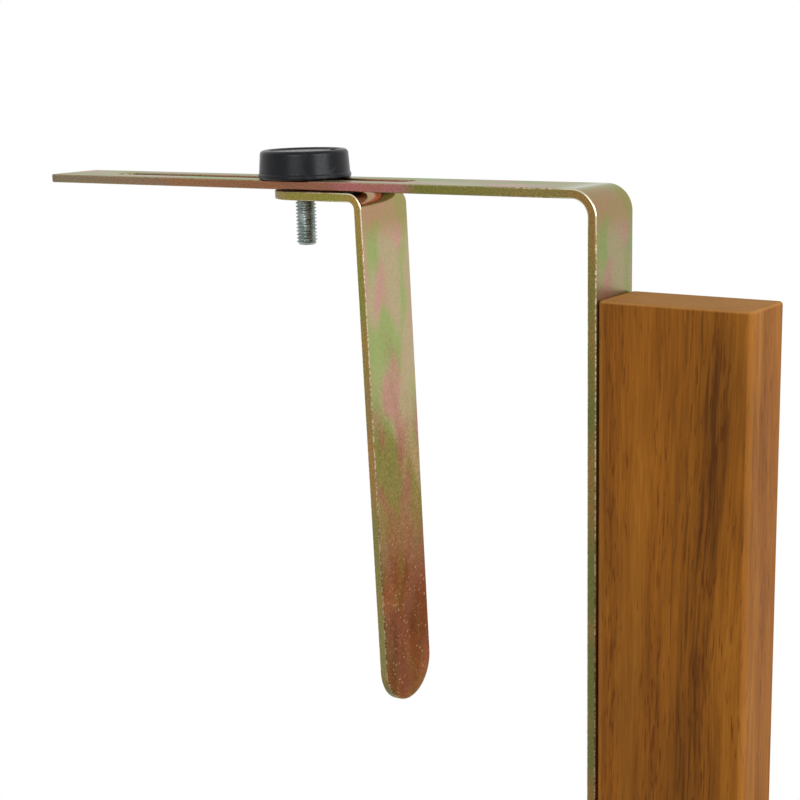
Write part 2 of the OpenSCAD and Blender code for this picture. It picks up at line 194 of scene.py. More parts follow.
def offsetLoop(loop, inset):
    # moves a loop of points to its left by a short way
    points = np.array(loop, float)
    ahead = np.roll(points, -1, axis=0) - points
    ahead /= np.linalg.norm(ahead, axis=1)[:, None]
    left = np.stack([-ahead[:, 1], ahead[:, 0]], axis=1)
    before = np.roll(left, 1, axis=0)
    share = 1 + np.sum(left * before, axis=1)[:, None]
    return points + inset * (left + before) / share


def plate(name, loops, thick, arris, steps=3):
    # a flat plate with rounded arrises: the outline runs anticlockwise and the holes clockwise
    points, faces, rims, worn, side = [], [], [], [], []
    levels = []
    for k in range(steps + 1):
        a = math.pi / 2 * k / steps
        levels.append((arris * (1 - math.sin(a)), thick / 2 - arris * (1 - math.cos(a))))
    levels += [(inset, -z) for inset, z in reversed(levels)]
    for loop in loops:
        start = len(points)
        n = len(loop)
        for level, (inset, z) in enumerate(levels):
            points += [(x, y, z) for x, y in offsetLoop(loop, inset)]
            k = min(level, 2 * steps + 1 - level)
            # the middle rings of each arris hold the mask for a painted highlight
            worn += [1.0 if 0 < k < steps else 0.0] * n
            side += [math.sin(math.pi / 2 * k / steps)] * n
        for level in range(len(levels) - 1):
            for j in range(n):
                a, b = start + level * n + j, start + level * n + (j + 1) % n
                faces.append((a, a + n, b + n, b))
        rims.append((start, start + (len(levels) - 1) * n, n))
    obj = addMesh(name, points, faces)
    addMark(obj, "worn", worn)
    addMark(obj, "side", side)
    shape = bmesh.new()
    shape.from_mesh(obj.data)
    shape.verts.ensure_lookup_table()
    for level in (0, 1):
        edges = []
        for *starts, n in rims:
            ring = [shape.verts[starts[level] + j] for j in range(n)]
            edges += [shape.edges.get(ends) for ends in zip(ring, ring[1:] + ring[:1])]
        bmesh.ops.triangle_fill(shape, use_beauty=True, edges=edges)
    bmesh.ops.recalc_face_normals(shape, faces=shape.faces)
    shape.to_mesh(obj.data)
    shape.free()
    return obj


def arc(x, y, r, start, end, steps):
    angles = [math.radians(start + (end - start) * k / steps) for k in range(steps + 1)]
    return [(x + r * math.cos(a), y + r * math.sin(a)) for a in angles]


def circle(x, y, r, steps=32):
    return arc(x, y, r, 360, 0, steps)[:-1]


def turned(name, profile, steps=64, flats=None):
    # turns (radius, height) pairs about Z, and cuts six flats if their width is given
    points, faces, rings = [], [], []
    for r, z in profile:
        if r < 1e-6:
            rings.append([len(points)])
            points.append((0, 0, z))
            continue
        ring = []
        for j in range(steps):
            a = 2 * math.pi * j / steps
            limit = r
            if flats:
                sixth = (a + math.pi / 6) % (math.pi / 3) - math.pi / 6
                limit = min(r, flats / 2 / math.cos(sixth))
            ring.append(len(points))
            points.append((limit * math.cos(a), limit * math.sin(a), z))
        rings.append(ring)
    for low, high in zip(rings, rings[1:]):
        for j in range(steps):
            a, b = low[j % len(low)], low[(j + 1) % len(low)]
            c, d = high[(j + 1) % len(high)], high[j % len(high)]
            corners = list(dict.fromkeys((a, b, c, d)))
            if len(corners) > 2:
                faces.append(corners)
    return outward(addMesh(name, points, faces))


def bendStrip(obj, centre, radius, turn, steps=24):
    # wraps a flat strip round its bend: the bend starts at x 0 and the strip's arm lies before it
    shape = bmesh.new()
    shape.from_mesh(obj.data)
    for k in range(steps + 1):
        at = radius * turn * k / steps * mm
        everything = shape.verts[:] + shape.edges[:] + shape.faces[:]
        bmesh.ops.bisect_plane(shape, geom=everything, dist=1e-7, plane_co=(at, 0, 0),
                               plane_no=(1, 0, 0))
    flat = shape.verts.layers.float_vector.new("strip")
    for vert in shape.verts:
        vert[flat] = vert.co
        s, y, h = vert.co / mm
        a = min(max(s / radius, 0), turn)
        rest = s - a * radius
        x = centre[0] + (radius + h) * math.sin(a) + rest * math.cos(a)
        z = centre[1] + (radius + h) * math.cos(a) - rest * math.sin(a)
        vert.co = Vector((x, y, z)) * mm
    bmesh.ops.recalc_face_normals(shape, faces=shape.faces)
    shape.to_mesh(obj.data)
    shape.free()
    return obj


# Materials

def makeWood():
    # Acacia, planed, sanded and oiled: deep orange brown with soft streaks along the grain,
    # a darker zone of heartwood, short reddish pores, paler end grain and a low satin sheen.
    look = {
        "wander": 70.0, "sway": 10.0,  # mm: how far apart and how wide the grain bends
        "bands": 9.0, "streaks": 2.2, "veins": 1.0, "pores": 0.55,  # mm across the grain
        "fibres": 0.4,  # real fibres are finer than a pixel
        "blotches": 26.0, "smudges": 20.0,
        "heartSpread": 18.0, "heartWide": 11.0,  # mm: where the heartwood lies, and how far
        "roughness": 0.5, "endRoughness": 0.75,
    }
    material, tree = newMaterial("oiledAcacia")
    grain = addNode(tree, "ShaderNodeAttribute", {"attribute_name": "grain"}).outputs["Vector"]
    seed = addNode(tree, "ShaderNodeAttribute", {"attribute_name": "boardSeed"}).outputs["Fac"]
    end = addNode(tree, "ShaderNodeAttribute", {"attribute_name": "endGrain"}).outputs["Fac"]
    worn = addNode(tree, "ShaderNodeAttribute", {"attribute_name": "worn"}).outputs["Fac"]
    # each board has its own stretch of the pattern, which bends a little and is drawn out
    # along the grain
    apart = addNode(tree, "ShaderNodeVectorMath", {"operation": "MULTIPLY_ADD"}, {
        0: seed, 1: (7.31, 3.17, 5.23), 2: grain})
    slow = addNode(tree, "ShaderNodeMapping", {}, {"Vector": apart, "Scale": (0.7, 1.0, 1.0)})
    wander = addNode(tree, "ShaderNodeTexNoise", {}, {
        "Vector": slow, "Scale": 1000 / look["wander"], "Detail": 1.0})
    sway = look["sway"] * mm
    offset = addNode(tree, "ShaderNodeVectorMath", {"operation": "MULTIPLY_ADD"}, {
        0: wander.outputs["Color"], 1: (0.0, sway, sway), 2: (0.0, -sway / 2, -sway / 2)})
    bowed = addNode(tree, "ShaderNodeVectorMath", {"operation": "ADD"}, {0: apart, 1: offset})
    long = addNode(tree, "ShaderNodeMapping", {}, {"Vector": bowed, "Scale": (0.03, 1.0, 1.0)})
    short = addNode(tree, "ShaderNodeMapping", {}, {"Vector": bowed, "Scale": (0.08, 1.0, 1.0)})
    bands = addNode(tree, "ShaderNodeTexNoise", {}, {
        "Vector": long, "Scale": 1000 / look["bands"], "Detail": 2.0})
    streaks = addNode(tree, "ShaderNodeTexNoise", {}, {
        "Vector": long, "Scale": 1000 / look["streaks"], "Detail": 3.0, "Roughness": 0.6})
    fibres = addNode(tree, "ShaderNodeTexNoise", {}, {
        "Vector": long, "Scale": 1000 / look["fibres"], "Detail": 1.0})
    blotches = addNode(tree, "ShaderNodeTexNoise", {}, {
        "Vector": addNode(tree, "ShaderNodeMapping", {}, {
            "Vector": apart, "Scale": (0.35, 1.0, 1.0)}),
        "Scale": 1000 / look["blotches"], "Detail": 2.0})
    tone = bands
    for amount, pattern in ((0.5, streaks), (0.3, blotches), (0.2, fibres)):
        tone = addNode(tree, "ShaderNodeMix", {}, {"Factor": amount, "A": tone, "B": pattern})
    colour = addNode(tree, "ShaderNodeValToRGB", {"stops": [
        (0.34, "#643b12"), (0.44, "#7d4b14"), (0.5, "#8a5417"), (0.56, "#955e1c"),
        (0.66, "#a46d2a")]}, {"Fac": tone})

    # brown smudges
    smudges = addNode(tree, "ShaderNodeMapRange", softRange, {
        "Value": addNode(tree, "ShaderNodeTexNoise", {}, {
            "Vector": addNode(tree, "ShaderNodeMapping", {}, {
                "Vector": bowed, "Scale": (0.3, 1.0, 1.0), "Location": (0.9, 0.4, 0.2)}),
            "Scale": 1000 / look["smudges"], "Detail": 3.0}),
        "From Min": 0.54, "From Max": 0.7, "To Max": 0.35})
    colour = addNode(tree, "ShaderNodeMix", colourMix, {
        "Factor": smudges, "A": colour, "B": linear("#5c3711")})

    # the heartwood zone lies at its own place across each board
    share = addNode(tree, "ShaderNodeMath", {"operation": "FRACT"}, {0: seed})
    spread = look["heartSpread"] * mm
    middle = addNode(tree, "ShaderNodeMath", {"operation": "MULTIPLY_ADD"}, {
        0: share, 1: spread, 2: -spread / 2})
    swayed = addNode(tree, "ShaderNodeVectorMath", {"operation": "ADD"}, {0: grain, 1: offset})
    across = addNode(tree, "ShaderNodeSeparateXYZ", {}, {0: swayed}).outputs[1]
    away = addNode(tree, "ShaderNodeMath", {"operation": "ABSOLUTE"}, {
        0: addNode(tree, "ShaderNodeMath", {"operation": "SUBTRACT"}, {0: across, 1: middle})})
    heart = addNode(tree, "ShaderNodeMapRange", softRange, {
        "Value": away, "From Min": look["heartWide"] * mm, "From Max": 0.0})
    dull = addNode(tree, "ShaderNodeMath", {"operation": "MULTIPLY"}, {0: heart, 1: 0.2})
    colour = addNode(tree, "ShaderNodeMix", colourMix, {
        "Factor": dull, "A": colour, "B": linear("#6a4210")})
    veins = addNode(tree, "ShaderNodeTexNoise", {}, {
        "Vector": long, "Scale": 1000 / look["veins"], "Detail": 2.0})
    lines = addNode(tree, "ShaderNodeMapRange", softRange, {
        "Value": addNode(tree, "ShaderNodeMix", {}, {"Factor": 0.35, "A": veins, "B": streaks}),
        "From Min": 0.49, "From Max": 0.38, "To Max": 0.6})
    dark = addNode(tree, "ShaderNodeMath", {"operation": "MULTIPLY"}, {0: heart, 1: lines})
    colour = addNode(tree, "ShaderNodeMix", colourMix, {
        "Factor": dark, "A": colour, "B": linear("#42240a")})

    # pores crowd in the darker bands
    pores = addNode(tree, "ShaderNodeTexNoise", {}, {
        "Vector": short, "Scale": 1000 / look["pores"], "Detail": 1.0})
    crowded = addNode(tree, "ShaderNodeMath", {"operation": "MULTIPLY_ADD"}, {
        0: bands, 1: 0.5, 2: -0.25})
    pores = addNode(tree, "ShaderNodeMapRange", softRange, {
        "Value": addNode(tree, "ShaderNodeMath", {"operation": "SUBTRACT"}, {0: pores, 1: crowded}),
        "From Min": 0.6, "From Max": 0.7})
    seen = addNode(tree, "ShaderNodeMath", {"operation": "MULTIPLY"}, {0: pores, 1: 0.5})
    colour = addNode(tree, "ShaderNodeMix", colourMix, {
        "Factor": seen, "A": colour, "B": linear("#4f2208")})

    # end grain is paler and rougher, and the eased and rounded edges get a painted highlight
    pale = addNode(tree, "ShaderNodeMix", colourMix, {
        "Factor": 0.55, "A": colour, "B": linear("#a07a48")})
    atEnd = addNode(tree, "ShaderNodeMapRange", softRange, {
        "Value": end, "From Min": 0.35, "From Max": 0.9})
    colour = addNode(tree, "ShaderNodeMix", colourMix, {
        "Factor": atEnd, "A": colour, "B": pale})
    arrisSheen = addNode(tree, "ShaderNodeMath", {"operation": "MULTIPLY"}, {0: worn, 1: 0.3})
    colour = addNode(tree, "ShaderNodeMix", colourMix, {
        "Factor": arrisSheen, "A": colour, "B": linear("#b37c40")})
    shade = addNode(tree, "ShaderNodeMapRange", {}, {
        "Value": addNode(tree, "ShaderNodeTexWhiteNoise", {"noise_dimensions": "1D"}, {"W": seed}),
        "To Min": 0.9, "To Max": 1.12})
    colour = addNode(tree, "ShaderNodeHueSaturation", {}, {"Value": shade, "Color": colour})
    bump = addNode(tree, "ShaderNodeBump", {"invert": True}, {
        "Strength": 0.3, "Distance": 0.0002, "Height": pores})
    bump = addNode(tree, "ShaderNodeBump", {}, {
        "Strength": 0.2, "Distance": 0.0001, "Height": fibres, "Normal": bump})
    roughness = addNode(tree, "ShaderNodeMapRange", {}, {
        "Value": atEnd, "To Min": look["roughness"], "To Max": look["endRoughness"]})
    shader = addNode(tree, "ShaderNodeBsdfPrincipled", {}, {
        "Base Color": colour, "Normal": bump, "Specular IOR Level": 0.08, "Roughness": roughness})
    addNode(tree, "ShaderNodeOutputMaterial", {}, {"Surface": shader})
    return material


def makeYellowZinc(name, edgeTints, deep, tone):
    # Steel strip, zinc plated and yellow chromated: pale tan with long soft patches of green
    # and pink, reddish brown with pale specks where the chromate is thick, olive on the
    # sheared edges, whose tints hold painted shade too, a painted highlight along the arrises
    # and a painted golden reflection on the bend. An edge's tints go by millimetres along it,
    # deep gives where the thick chromate starts and is full, and tone darkens the whole strip.
    look = {
        "greens": 9.0, "pinks": 7.0, "blotches": 15.0, "specks": 1.2, "arrisSheen": 0.7,  # mm
        "grit": 0.5,  # the real grit is finer than a pixel
        "waver": 50.0,  # mm by which the start of the thick chromate wavers
        "bendAt": 4.0, "bendFull": 4.0, "bendFade": 12.0,  # mm along the strip
        "armFull": -30.0, "armFade": -8.0, "armSheen": 0.2,  # the arm gets less of the painted highlight
    }
    material, tree = newMaterial(name)
    strip = addNode(tree, "ShaderNodeAttribute", {"attribute_name": "strip"}).outputs["Vector"]
    side = addNode(tree, "ShaderNodeAttribute", {"attribute_name": "side"}).outputs["Fac"]
    worn = addNode(tree, "ShaderNodeAttribute", {"attribute_name": "worn"}).outputs["Fac"]
    along = addNode(tree, "ShaderNodeSeparateXYZ", {}, {0: strip}).outputs[0]
    long = addNode(tree, "ShaderNodeMapping", {}, {"Vector": strip, "Scale": (0.33, 1.0, 1.0)})
    far = addNode(tree, "ShaderNodeMapping", {}, {
        "Vector": strip, "Scale": (0.36, 1.0, 1.0), "Location": (0.31, 0.17, 0.05)})
    greens = addNode(tree, "ShaderNodeTexNoise", {}, {
        "Vector": long, "Scale": 1000 / look["greens"], "Detail": 1.0, "Distortion": 0.6})
    pinks = addNode(tree, "ShaderNodeTexNoise", {}, {
        "Vector": far, "Scale": 1000 / look["pinks"], "Detail": 1.0, "Distortion": 0.6})
    blotches = addNode(tree, "ShaderNodeTexNoise", {}, {
        "Vector": addNode(tree, "ShaderNodeMapping", {}, {
            "Vector": strip, "Scale": (0.55, 1.0, 1.0)}),
        "Scale": 1000 / look["blotches"], "Detail": 4.0, "Distortion": 0.3})
    grit = addNode(tree, "ShaderNodeTexNoise", {}, {
        "Vector": strip, "Scale": 1000 / look["grit"], "Detail": 1.0})
    wavering = addNode(tree, "ShaderNodeMath", {"operation": "MULTIPLY_ADD"}, {
        0: blotches, 1: look["waver"] * mm, 2: along})
    start, full = [at * mm for at in deep]
    half = (start + full) / 2
    aged = addNode(tree, "ShaderNodeMapRange", softRange, {
        "Value": wavering, "From Min": start, "From Max": half})
    thick = addNode(tree, "ShaderNodeMapRange", softRange, {
        "Value": wavering, "From Min": half, "From Max": full})

    # the tan ground darkens with the chromate, and green and pink lie on it in patches
    ground = addNode(tree, "ShaderNodeMix", colourMix, {
        "Factor": aged, "A": linear("#bfae88"), "B": linear("#b09768")})
    brown = addNode(tree, "ShaderNodeValToRGB", {"stops": [
        (0.36, "#6e3719"), (0.5, "#834320"), (0.62, "#97542b")]}, {"Fac": blotches})
    ground = addNode(tree, "ShaderNodeMix", colourMix, {
        "Factor": thick, "A": ground, "B": brown})
    green = addNode(tree, "ShaderNodeMix", colourMix, {
        "Factor": aged, "A": linear("#9eb36a"), "B": linear("#85803a")})
    pink = addNode(tree, "ShaderNodeMix", colourMix, {
        "Factor": aged, "A": linear("#d39b93"), "B": linear("#a86a55")})
    fewer = addNode(tree, "ShaderNodeMapRange", {}, {"Value": thick, "To Min": 0.8, "To Max": 0.3})
    greenShare = addNode(tree, "ShaderNodeMath", {"operation": "MULTIPLY"}, {
        0: addNode(tree, "ShaderNodeMapRange", softRange, {
            "Value": greens, "From Min": 0.42, "From Max": 0.64}), 1: fewer})
    pinkShare = addNode(tree, "ShaderNodeMath", {"operation": "MULTIPLY"}, {
        0: addNode(tree, "ShaderNodeMapRange", softRange, {
            "Value": pinks, "From Min": 0.42, "From Max": 0.64}), 1: fewer})
    colour = addNode(tree, "ShaderNodeMix", colourMix, {
        "Factor": greenShare, "A": ground, "B": green})
    colour = addNode(tree, "ShaderNodeMix", colourMix, {
        "Factor": pinkShare, "A": colour, "B": pink})

    # specks: a dot in some of the cells only
    cells = addNode(tree, "ShaderNodeTexVoronoi", {}, {
        "Vector": strip, "Scale": 1000 / look["specks"]})
    chance = addNode(tree, "ShaderNodeSeparateColor", {}, {0: cells.outputs["Color"]})
    swollen = addNode(tree, "ShaderNodeMapRange", {}, {
        "Value": chance.outputs["Green"], "To Min": 0.6, "To Max": 1.7})
    dots = addNode(tree, "ShaderNodeMapRange", softRange, {
        "Value": addNode(tree, "ShaderNodeMath", {"operation": "DIVIDE"}, {
            0: cells.outputs["Distance"], 1: swollen}),
        "From Min": 0.24, "From Max": 0.08, "To Max": 0.7})
    some = addNode(tree, "ShaderNodeMath", {"operation": "GREATER_THAN"}, {
        0: chance.outputs["Red"], 1: 0.5})
    dots = addNode(tree, "ShaderNodeMath", {"operation": "MULTIPLY"}, {
        0: addNode(tree, "ShaderNodeMath", {"operation": "MULTIPLY"}, {0: dots, 1: some}), 1: thick})
    colour = addNode(tree, "ShaderNodeMix", colourMix, {
        "Factor": dots, "A": colour, "B": linear("#cda67c")})

    # the sheared edges: their tints are the chromate's own, matched where the edges face away from
    # the light, so they hold painted shade too
    first, last = edgeTints[0][0], edgeTints[-1][0]
    alongEdge = addNode(tree, "ShaderNodeMapRange", {}, {
        "Value": along, "From Min": first * mm, "From Max": last * mm})
    edge = addNode(tree, "ShaderNodeValToRGB", {"stops": [
        ((at - first) / (last - first), tint) for at, tint in edgeTints]}, {"Fac": alongEdge})
    streaked = addNode(tree, "ShaderNodeMapRange", softRange, {
        "Value": blotches, "From Min": 0.46, "From Max": 0.66, "To Max": 0.5})
    edge = addNode(tree, "ShaderNodeMix", colourMix, {
        "Factor": streaked, "A": edge, "B": linear("#ae7848")})
    colour = addNode(tree, "ShaderNodeMix", colourMix, {
        "Factor": side, "A": colour, "B": edge})

    # grit shows more on the edges and where the chromate is thick
    weak, strong = [addNode(tree, "ShaderNodeMapRange", {}, {
        "Value": grit, "From Min": 0.3, "From Max": 0.7, "To Min": low * tone,
        "To Max": high * tone}) for low, high in ((0.93, 1.07), (0.74, 1.22))]
    gritty = addNode(tree, "ShaderNodeMix", {}, {
        "Factor": addNode(tree, "ShaderNodeMath", {"operation": "MAXIMUM"}, {0: aged, 1: side}),
        "A": weak, "B": strong})
    colour = addNode(tree, "ShaderNodeVectorMath", {"operation": "SCALE"}, {
        0: colour, "Scale": gritty})

    # a painted highlight on the arrises: in spots, all round the bend and least along the arm
    glint = addNode(tree, "ShaderNodeMapRange", softRange, {
        "Value": addNode(tree, "ShaderNodeTexNoise", {}, {
            "Vector": strip, "Scale": 1000 / look["arrisSheen"], "Detail": 2.0}),
        "From Min": 0.42, "From Max": 0.6, "To Max": 0.75})
    fromBend = addNode(tree, "ShaderNodeMath", {"operation": "ABSOLUTE"}, {
        0: addNode(tree, "ShaderNodeMath", {"operation": "SUBTRACT"}, {
            0: along, 1: look["bendAt"] * mm})})
    nearBend = addNode(tree, "ShaderNodeMapRange", softRange, {
        "Value": fromBend, "From Min": look["bendFade"] * mm,
        "From Max": look["bendFull"] * mm})
    glint = addNode(tree, "ShaderNodeMath", {"operation": "MAXIMUM"}, {0: glint, 1: nearBend})
    glint = addNode(tree, "ShaderNodeMath", {"operation": "MULTIPLY"}, {0: glint, 1: worn})
    less = addNode(tree, "ShaderNodeMapRange", {}, {
        "Value": along, "From Min": look["armFull"] * mm, "From Max": look["armFade"] * mm,
        "To Min": look["armSheen"]})
    glint = addNode(tree, "ShaderNodeMath", {"operation": "MULTIPLY"}, {0: glint, 1: less})
    # the bend is stretched: its faces are smoother, and a painted golden reflection lies on them
    bendReflection = addNode(tree, "ShaderNodeMath", {"operation": "MULTIPLY_ADD", "use_clamp": True}, {
        0: nearBend, 1: 0.5, 2: addNode(tree, "ShaderNodeMath", {"operation": "MULTIPLY"}, {
            0: side, 1: -0.5})})
    colour = addNode(tree, "ShaderNodeMix", colourMix, {
        "Factor": bendReflection, "A": colour, "B": linear("#9a7d43")})
    colour = addNode(tree, "ShaderNodeMix", colourMix, {
        # the pale silver here is painted highlight
        "Factor": glint, "A": colour, "B": linear("#d0ccae")})
    bump = addNode(tree, "ShaderNodeBump", {}, {
        "Strength": 0.1, "Distance": 0.0001, "Height": grit})
    roughness = addNode(tree, "ShaderNodeMapRange", {}, {
        "Value": blotches, "From Min": 0.3, "From Max": 0.7, "To Min": 0.28, "To Max": 0.4})
    roughness = addNode(tree, "ShaderNodeMix", {}, {"Factor": nearBend, "A": roughness, "B": 0.15})
    shader = addNode(tree, "ShaderNodeBsdfPrincipled", {}, {
        "Base Color": colour, "Metallic": 1.0, "Normal": bump, "Roughness": roughness,
        "Specular Tint": linear("#dfeadd")})
    addNode(tree, "ShaderNodeOutputMaterial", {}, {"Surface": shader})
    return material


def makeBlueZinc():
    # Steel fasteners, zinc plated and blue passivated: cool silver, a little cloudy.
    look = {"clouds": 2.4, "grit": 0.5}
    material, tree = newMaterial("bluePassivatedZinc")
    where = addNode(tree, "ShaderNodeTexCoord").outputs["Object"]
    clouds = addNode(tree, "ShaderNodeTexNoise", {}, {
        "Vector": where, "Scale": 1000 / look["clouds"], "Detail": 3.0})
    colour = addNode(tree, "ShaderNodeValToRGB", {"stops": [
        (0.35, "#8f9996"), (0.5, "#a3acaa"), (0.65, "#bac2c0")]}, {"Fac": clouds})
    grit = addNode(tree, "ShaderNodeTexNoise", {}, {
        "Vector": where, "Scale": 1000 / look["grit"], "Detail": 2.0})
    bump = addNode(tree, "ShaderNodeBump", {}, {
        "Strength": 0.1, "Distance": 0.0001, "Height": grit})
    roughness = addNode(tree, "ShaderNodeMapRange", {}, {
        "Value": clouds, "From Min": 0.3, "From Max": 0.7, "To Min": 0.2, "To Max": 0.32})
    shader = addNode(tree, "ShaderNodeBsdfPrincipled", {}, {
        "Base Color": colour, "Metallic": 1.0, "Normal": bump, "Roughness": roughness})
    addNode(tree, "ShaderNodeOutputMaterial", {}, {"Surface": shader})
    return material


def makePlastic():
    # Black nylon, injection moulded in a lightly sparked tool: satin charcoal with soft
    # highlights and faint grey scuffs, whose grey is raised as a painted sheen.
    look = {"grit": 0.35, "scuffsAndSheen": 3.0}
    material, tree = newMaterial("mouldedBlackNylon")
    where = addNode(tree, "ShaderNodeTexCoord").outputs["Object"]
    scuffsAndSheen = addNode(tree, "ShaderNodeTexNoise", {}, {
        "Vector": where, "Scale": 1000 / look["scuffsAndSheen"], "Detail": 4.0, "Distortion": 0.6})
    # faint grey scuffs, their share raised as a painted sheen
    colour = addNode(tree, "ShaderNodeValToRGB", {"stops": [
        (0.56, "#090b10"), (0.74, "#222429")]}, {"Fac": scuffsAndSheen})
    grit = addNode(tree, "ShaderNodeTexNoise", {}, {
        "Vector": where, "Scale": 1000 / look["grit"], "Detail": 2.0})
    bump = addNode(tree, "ShaderNodeBump", {}, {
        "Strength": 0.15, "Distance": 0.0001, "Height": grit})
    roughness = addNode(tree, "ShaderNodeMapRange", {}, {
        "Value": scuffsAndSheen, "From Min": 0.4, "From Max": 0.7, "To Min": 0.26, "To Max": 0.38})
    shader = addNode(tree, "ShaderNodeBsdfPrincipled", {}, {
        "Base Color": colour, "Normal": bump, "Specular IOR Level": 0.2, "Roughness": roughness})
    addNode(tree, "ShaderNodeOutputMaterial", {}, {"Surface": shader})
    return material


def makeBrass():
    # Free-cutting brass, machined: dull gold with fine clouding.
    look = {"clouds": 1.1}
    material, tree = newMaterial("machinedBrass")
    where = addNode(tree, "ShaderNodeTexCoord").outputs["Object"]
    clouds = addNode(tree, "ShaderNodeTexNoise", {}, {
        "Vector": where, "Scale": 1000 / look["clouds"], "Detail": 2.0})
    colour = addNode(tree, "ShaderNodeValToRGB", {"stops": [
        (0.3, "#8f7438"), (0.7, "#bd9c52")]}, {"Fac": clouds})
    roughness = addNode(tree, "ShaderNodeMapRange", {}, {
        "Value": clouds, "From Min": 0.3, "From Max": 0.7, "To Min": 0.28, "To Max": 0.42})
    shader = addNode(tree, "ShaderNodeBsdfPrincipled", {}, {
        "Base Color": colour, "Metallic": 1.0, "Roughness": roughness})
    addNode(tree, "ShaderNodeOutputMaterial", {}, {"Surface": shader})
    return material


wood = (makeWood(), "oiled_acacia")
# each edge's tints: the chromate's colours, darkened by painted shade
strapZinc = (makeYellowZinc("yellowZincStrap", [
    (-186, "#6b6e64"), (-183, "#93866a"), (-150, "#9c8066"), (-105, "#a07052"), (-76, "#a26c58"),
    (-69, "#c07379"), (-53, "#b8787a"), (-46, "#84833f"), (-12, "#94874f"), (20, "#8e7f45"),
    (60, "#737640"), (210, "#767848")],
    deep=(30.0, 330.0), tone=0.72), "yellow_zinc_steel")
bracketZinc = (makeYellowZinc("yellowZincBracket", [
    (-32, "#8f6d5c"), (-26, "#98805c"), (-19, "#8b8440"), (0, "#8f8a42"), (30, "#86813f"),
    (60, "#8f7a4c"), (95, "#827c46"), (150, "#8a8052")],
    deep=(70.0, 140.0), tone=0.92), "yellow_zinc_steel")
blueZinc = (makeBlueZinc(), "blue_zinc_steel")
blackNylon = (makePlastic(), "black_plastic")
brass = (makeBrass(), "brass")
print("materials made")


# Sizes that pieces share, and the places where they meet

table = {
    "hookY": 230.0,  # each hook's middle, from the middle of the table
    "hookWidth": 20.0,
    "strapThick": 2.5,
    "uprightDepth": 41.0,
    "uprightThick": 19.5,
    "slatTop": -195.0,
    "slatThick": 18.0,
    "foldGap": 5.0,  # from the uprights to the slats, both open and folded
    "propBack": 10.0,  # the prop's pivots, behind the uprights' front faces
    "propDrop": 120.0,  # and below the tabletop's pivots
    "barReach": 200.0,  # the prop's bar, in front of the tabletop's pivots
    "barUnder": 4.0,  # and its seats, below the slats
    "seatR": 9.3,
    "edge": 1.5,  # rounding along the boards
}
sides = {"left": -1, "right": 1}
uprightOut = table["hookY"] + table["hookWidth"] / 2
uprightIn = uprightOut - table["uprightThick"]
uprightMiddle = table["strapThick"] + table["uprightDepth"] / 2
uprightFront = table["strapThick"] + table["uprightDepth"]
slatUnder = table["slatTop"] - table["slatThick"]
# seen from the side, as (x, z)
leafPivot = (uprightMiddle, slatUnder - table["foldGap"] - table["uprightDepth"] / 2)
propPivot = (uprightFront - table["propBack"], leafPivot[1] - table["propDrop"])
barAt = (leafPivot[0] + table["barReach"], slatUnder - table["barUnder"] - table["seatR"])
propLine = Vector((barAt[0] - propPivot[0], 0, barAt[1] - propPivot[1]))
propAlong = propLine.normalized()
propUp = Vector((-propAlong.z, 0, propAlong.x))


def inProp(along, y):
    return tuple(Vector((propPivot[0], y, propPivot[1])) + propAlong * along)


# Screw places are (point, way out) pairs, for the holes and for the screws

screws = {"head": 8.0, "shank": 4.0, "clear": 0.05, "headClear": 0.1, "above": 0.6, "past": 1.0}


def bothWays(spread):
    return -spread, spread


def cutScrewHoles(obj, places, length):
    neck = (screws["head"] - screws["shank"]) / 2
    wide = screws["head"] / 2 + screws["headClear"]
    slim = screws["shank"] / 2 + screws["clear"]
    foot = -length - screws["past"]
    holes = []
    for point, way in places:
        hole = turned("hole", [(0, screws["above"]), (wide, screws["above"]), (wide, 0),
                               (slim, -neck), (slim, foot), (0, foot)], 32)
        turn = Vector((0, 0, -1)).rotation_difference(-Vector(way)).to_matrix().to_4x4()
        hole.data.transform(Matrix.Translation(Vector(point) * mm) @ turn)
        holes.append(hole)
    return cutOut(obj, join("cutter", holes))


# Boards

boardNumbers = itertools.count(1)
boardStep = 1.465  # sets each board's grain well apart from the next one's


def board(name, length, width, thick, ease, cornerSteps=7, easeSteps=4):
    # a planed board along X with its long edges rounded and its ends eased
    def section(inset):
        r = max(table["edge"] - inset, 0.1)
        w, t = width / 2 - inset - r, thick / 2 - inset - r
        ring = []
        for x, y, start in ((w, t, 0), (-w, t, 90), (-w, -t, 180), (w, -t, 270)):
            ring += arc(x, y, r, start, start + 90, cornerSteps)
        return ring

    ends = []
    for k in range(easeSteps + 1):
        a = math.pi / 2 * k / easeSteps
        ends.append((ease * (1 - math.cos(a)), ease * (1 - math.sin(a))))
    levels = ends + [(length - x, inset) for x, inset in reversed(ends)]
    n = 4 * (cornerSteps + 1)
    # the rounded edges and eased ends hold the mask for a painted highlight
    corner = [1.0 if 0 < k < cornerSteps else 0.0 for k in range(cornerSteps + 1)]
    points, faces, worn = [], [], []
    for x, inset in levels:
        points += [(x, y, z) for y, z in section(inset)]
        worn += [1.0] * n if 0 < inset < ease else corner * 4
    for level in range(len(levels) - 1):
        for j in range(n):
            a, b = level * n + j, level * n + (j + 1) % n
            faces.append((a, b, b + n, a + n))
    faces.append(tuple(reversed(range(n))))
    faces.append(tuple((len(levels) - 1) * n + j for j in range(n)))
    obj = outward(addMesh(name, points, faces))
    addMark(obj, "worn", worn)
    return obj


def markEnds(obj, along):
    # where end grain shows, marked before any hole is cut
    way = Vector(along).normalized()
    end = np.zeros(len(obj.data.vertices))
    for face in obj.data.polygons:
        facing = abs(face.normal.dot(way))
        for corner in face.vertices:
            end[corner] = max(end[corner], facing)
    addMark(obj, "endGrain", end)


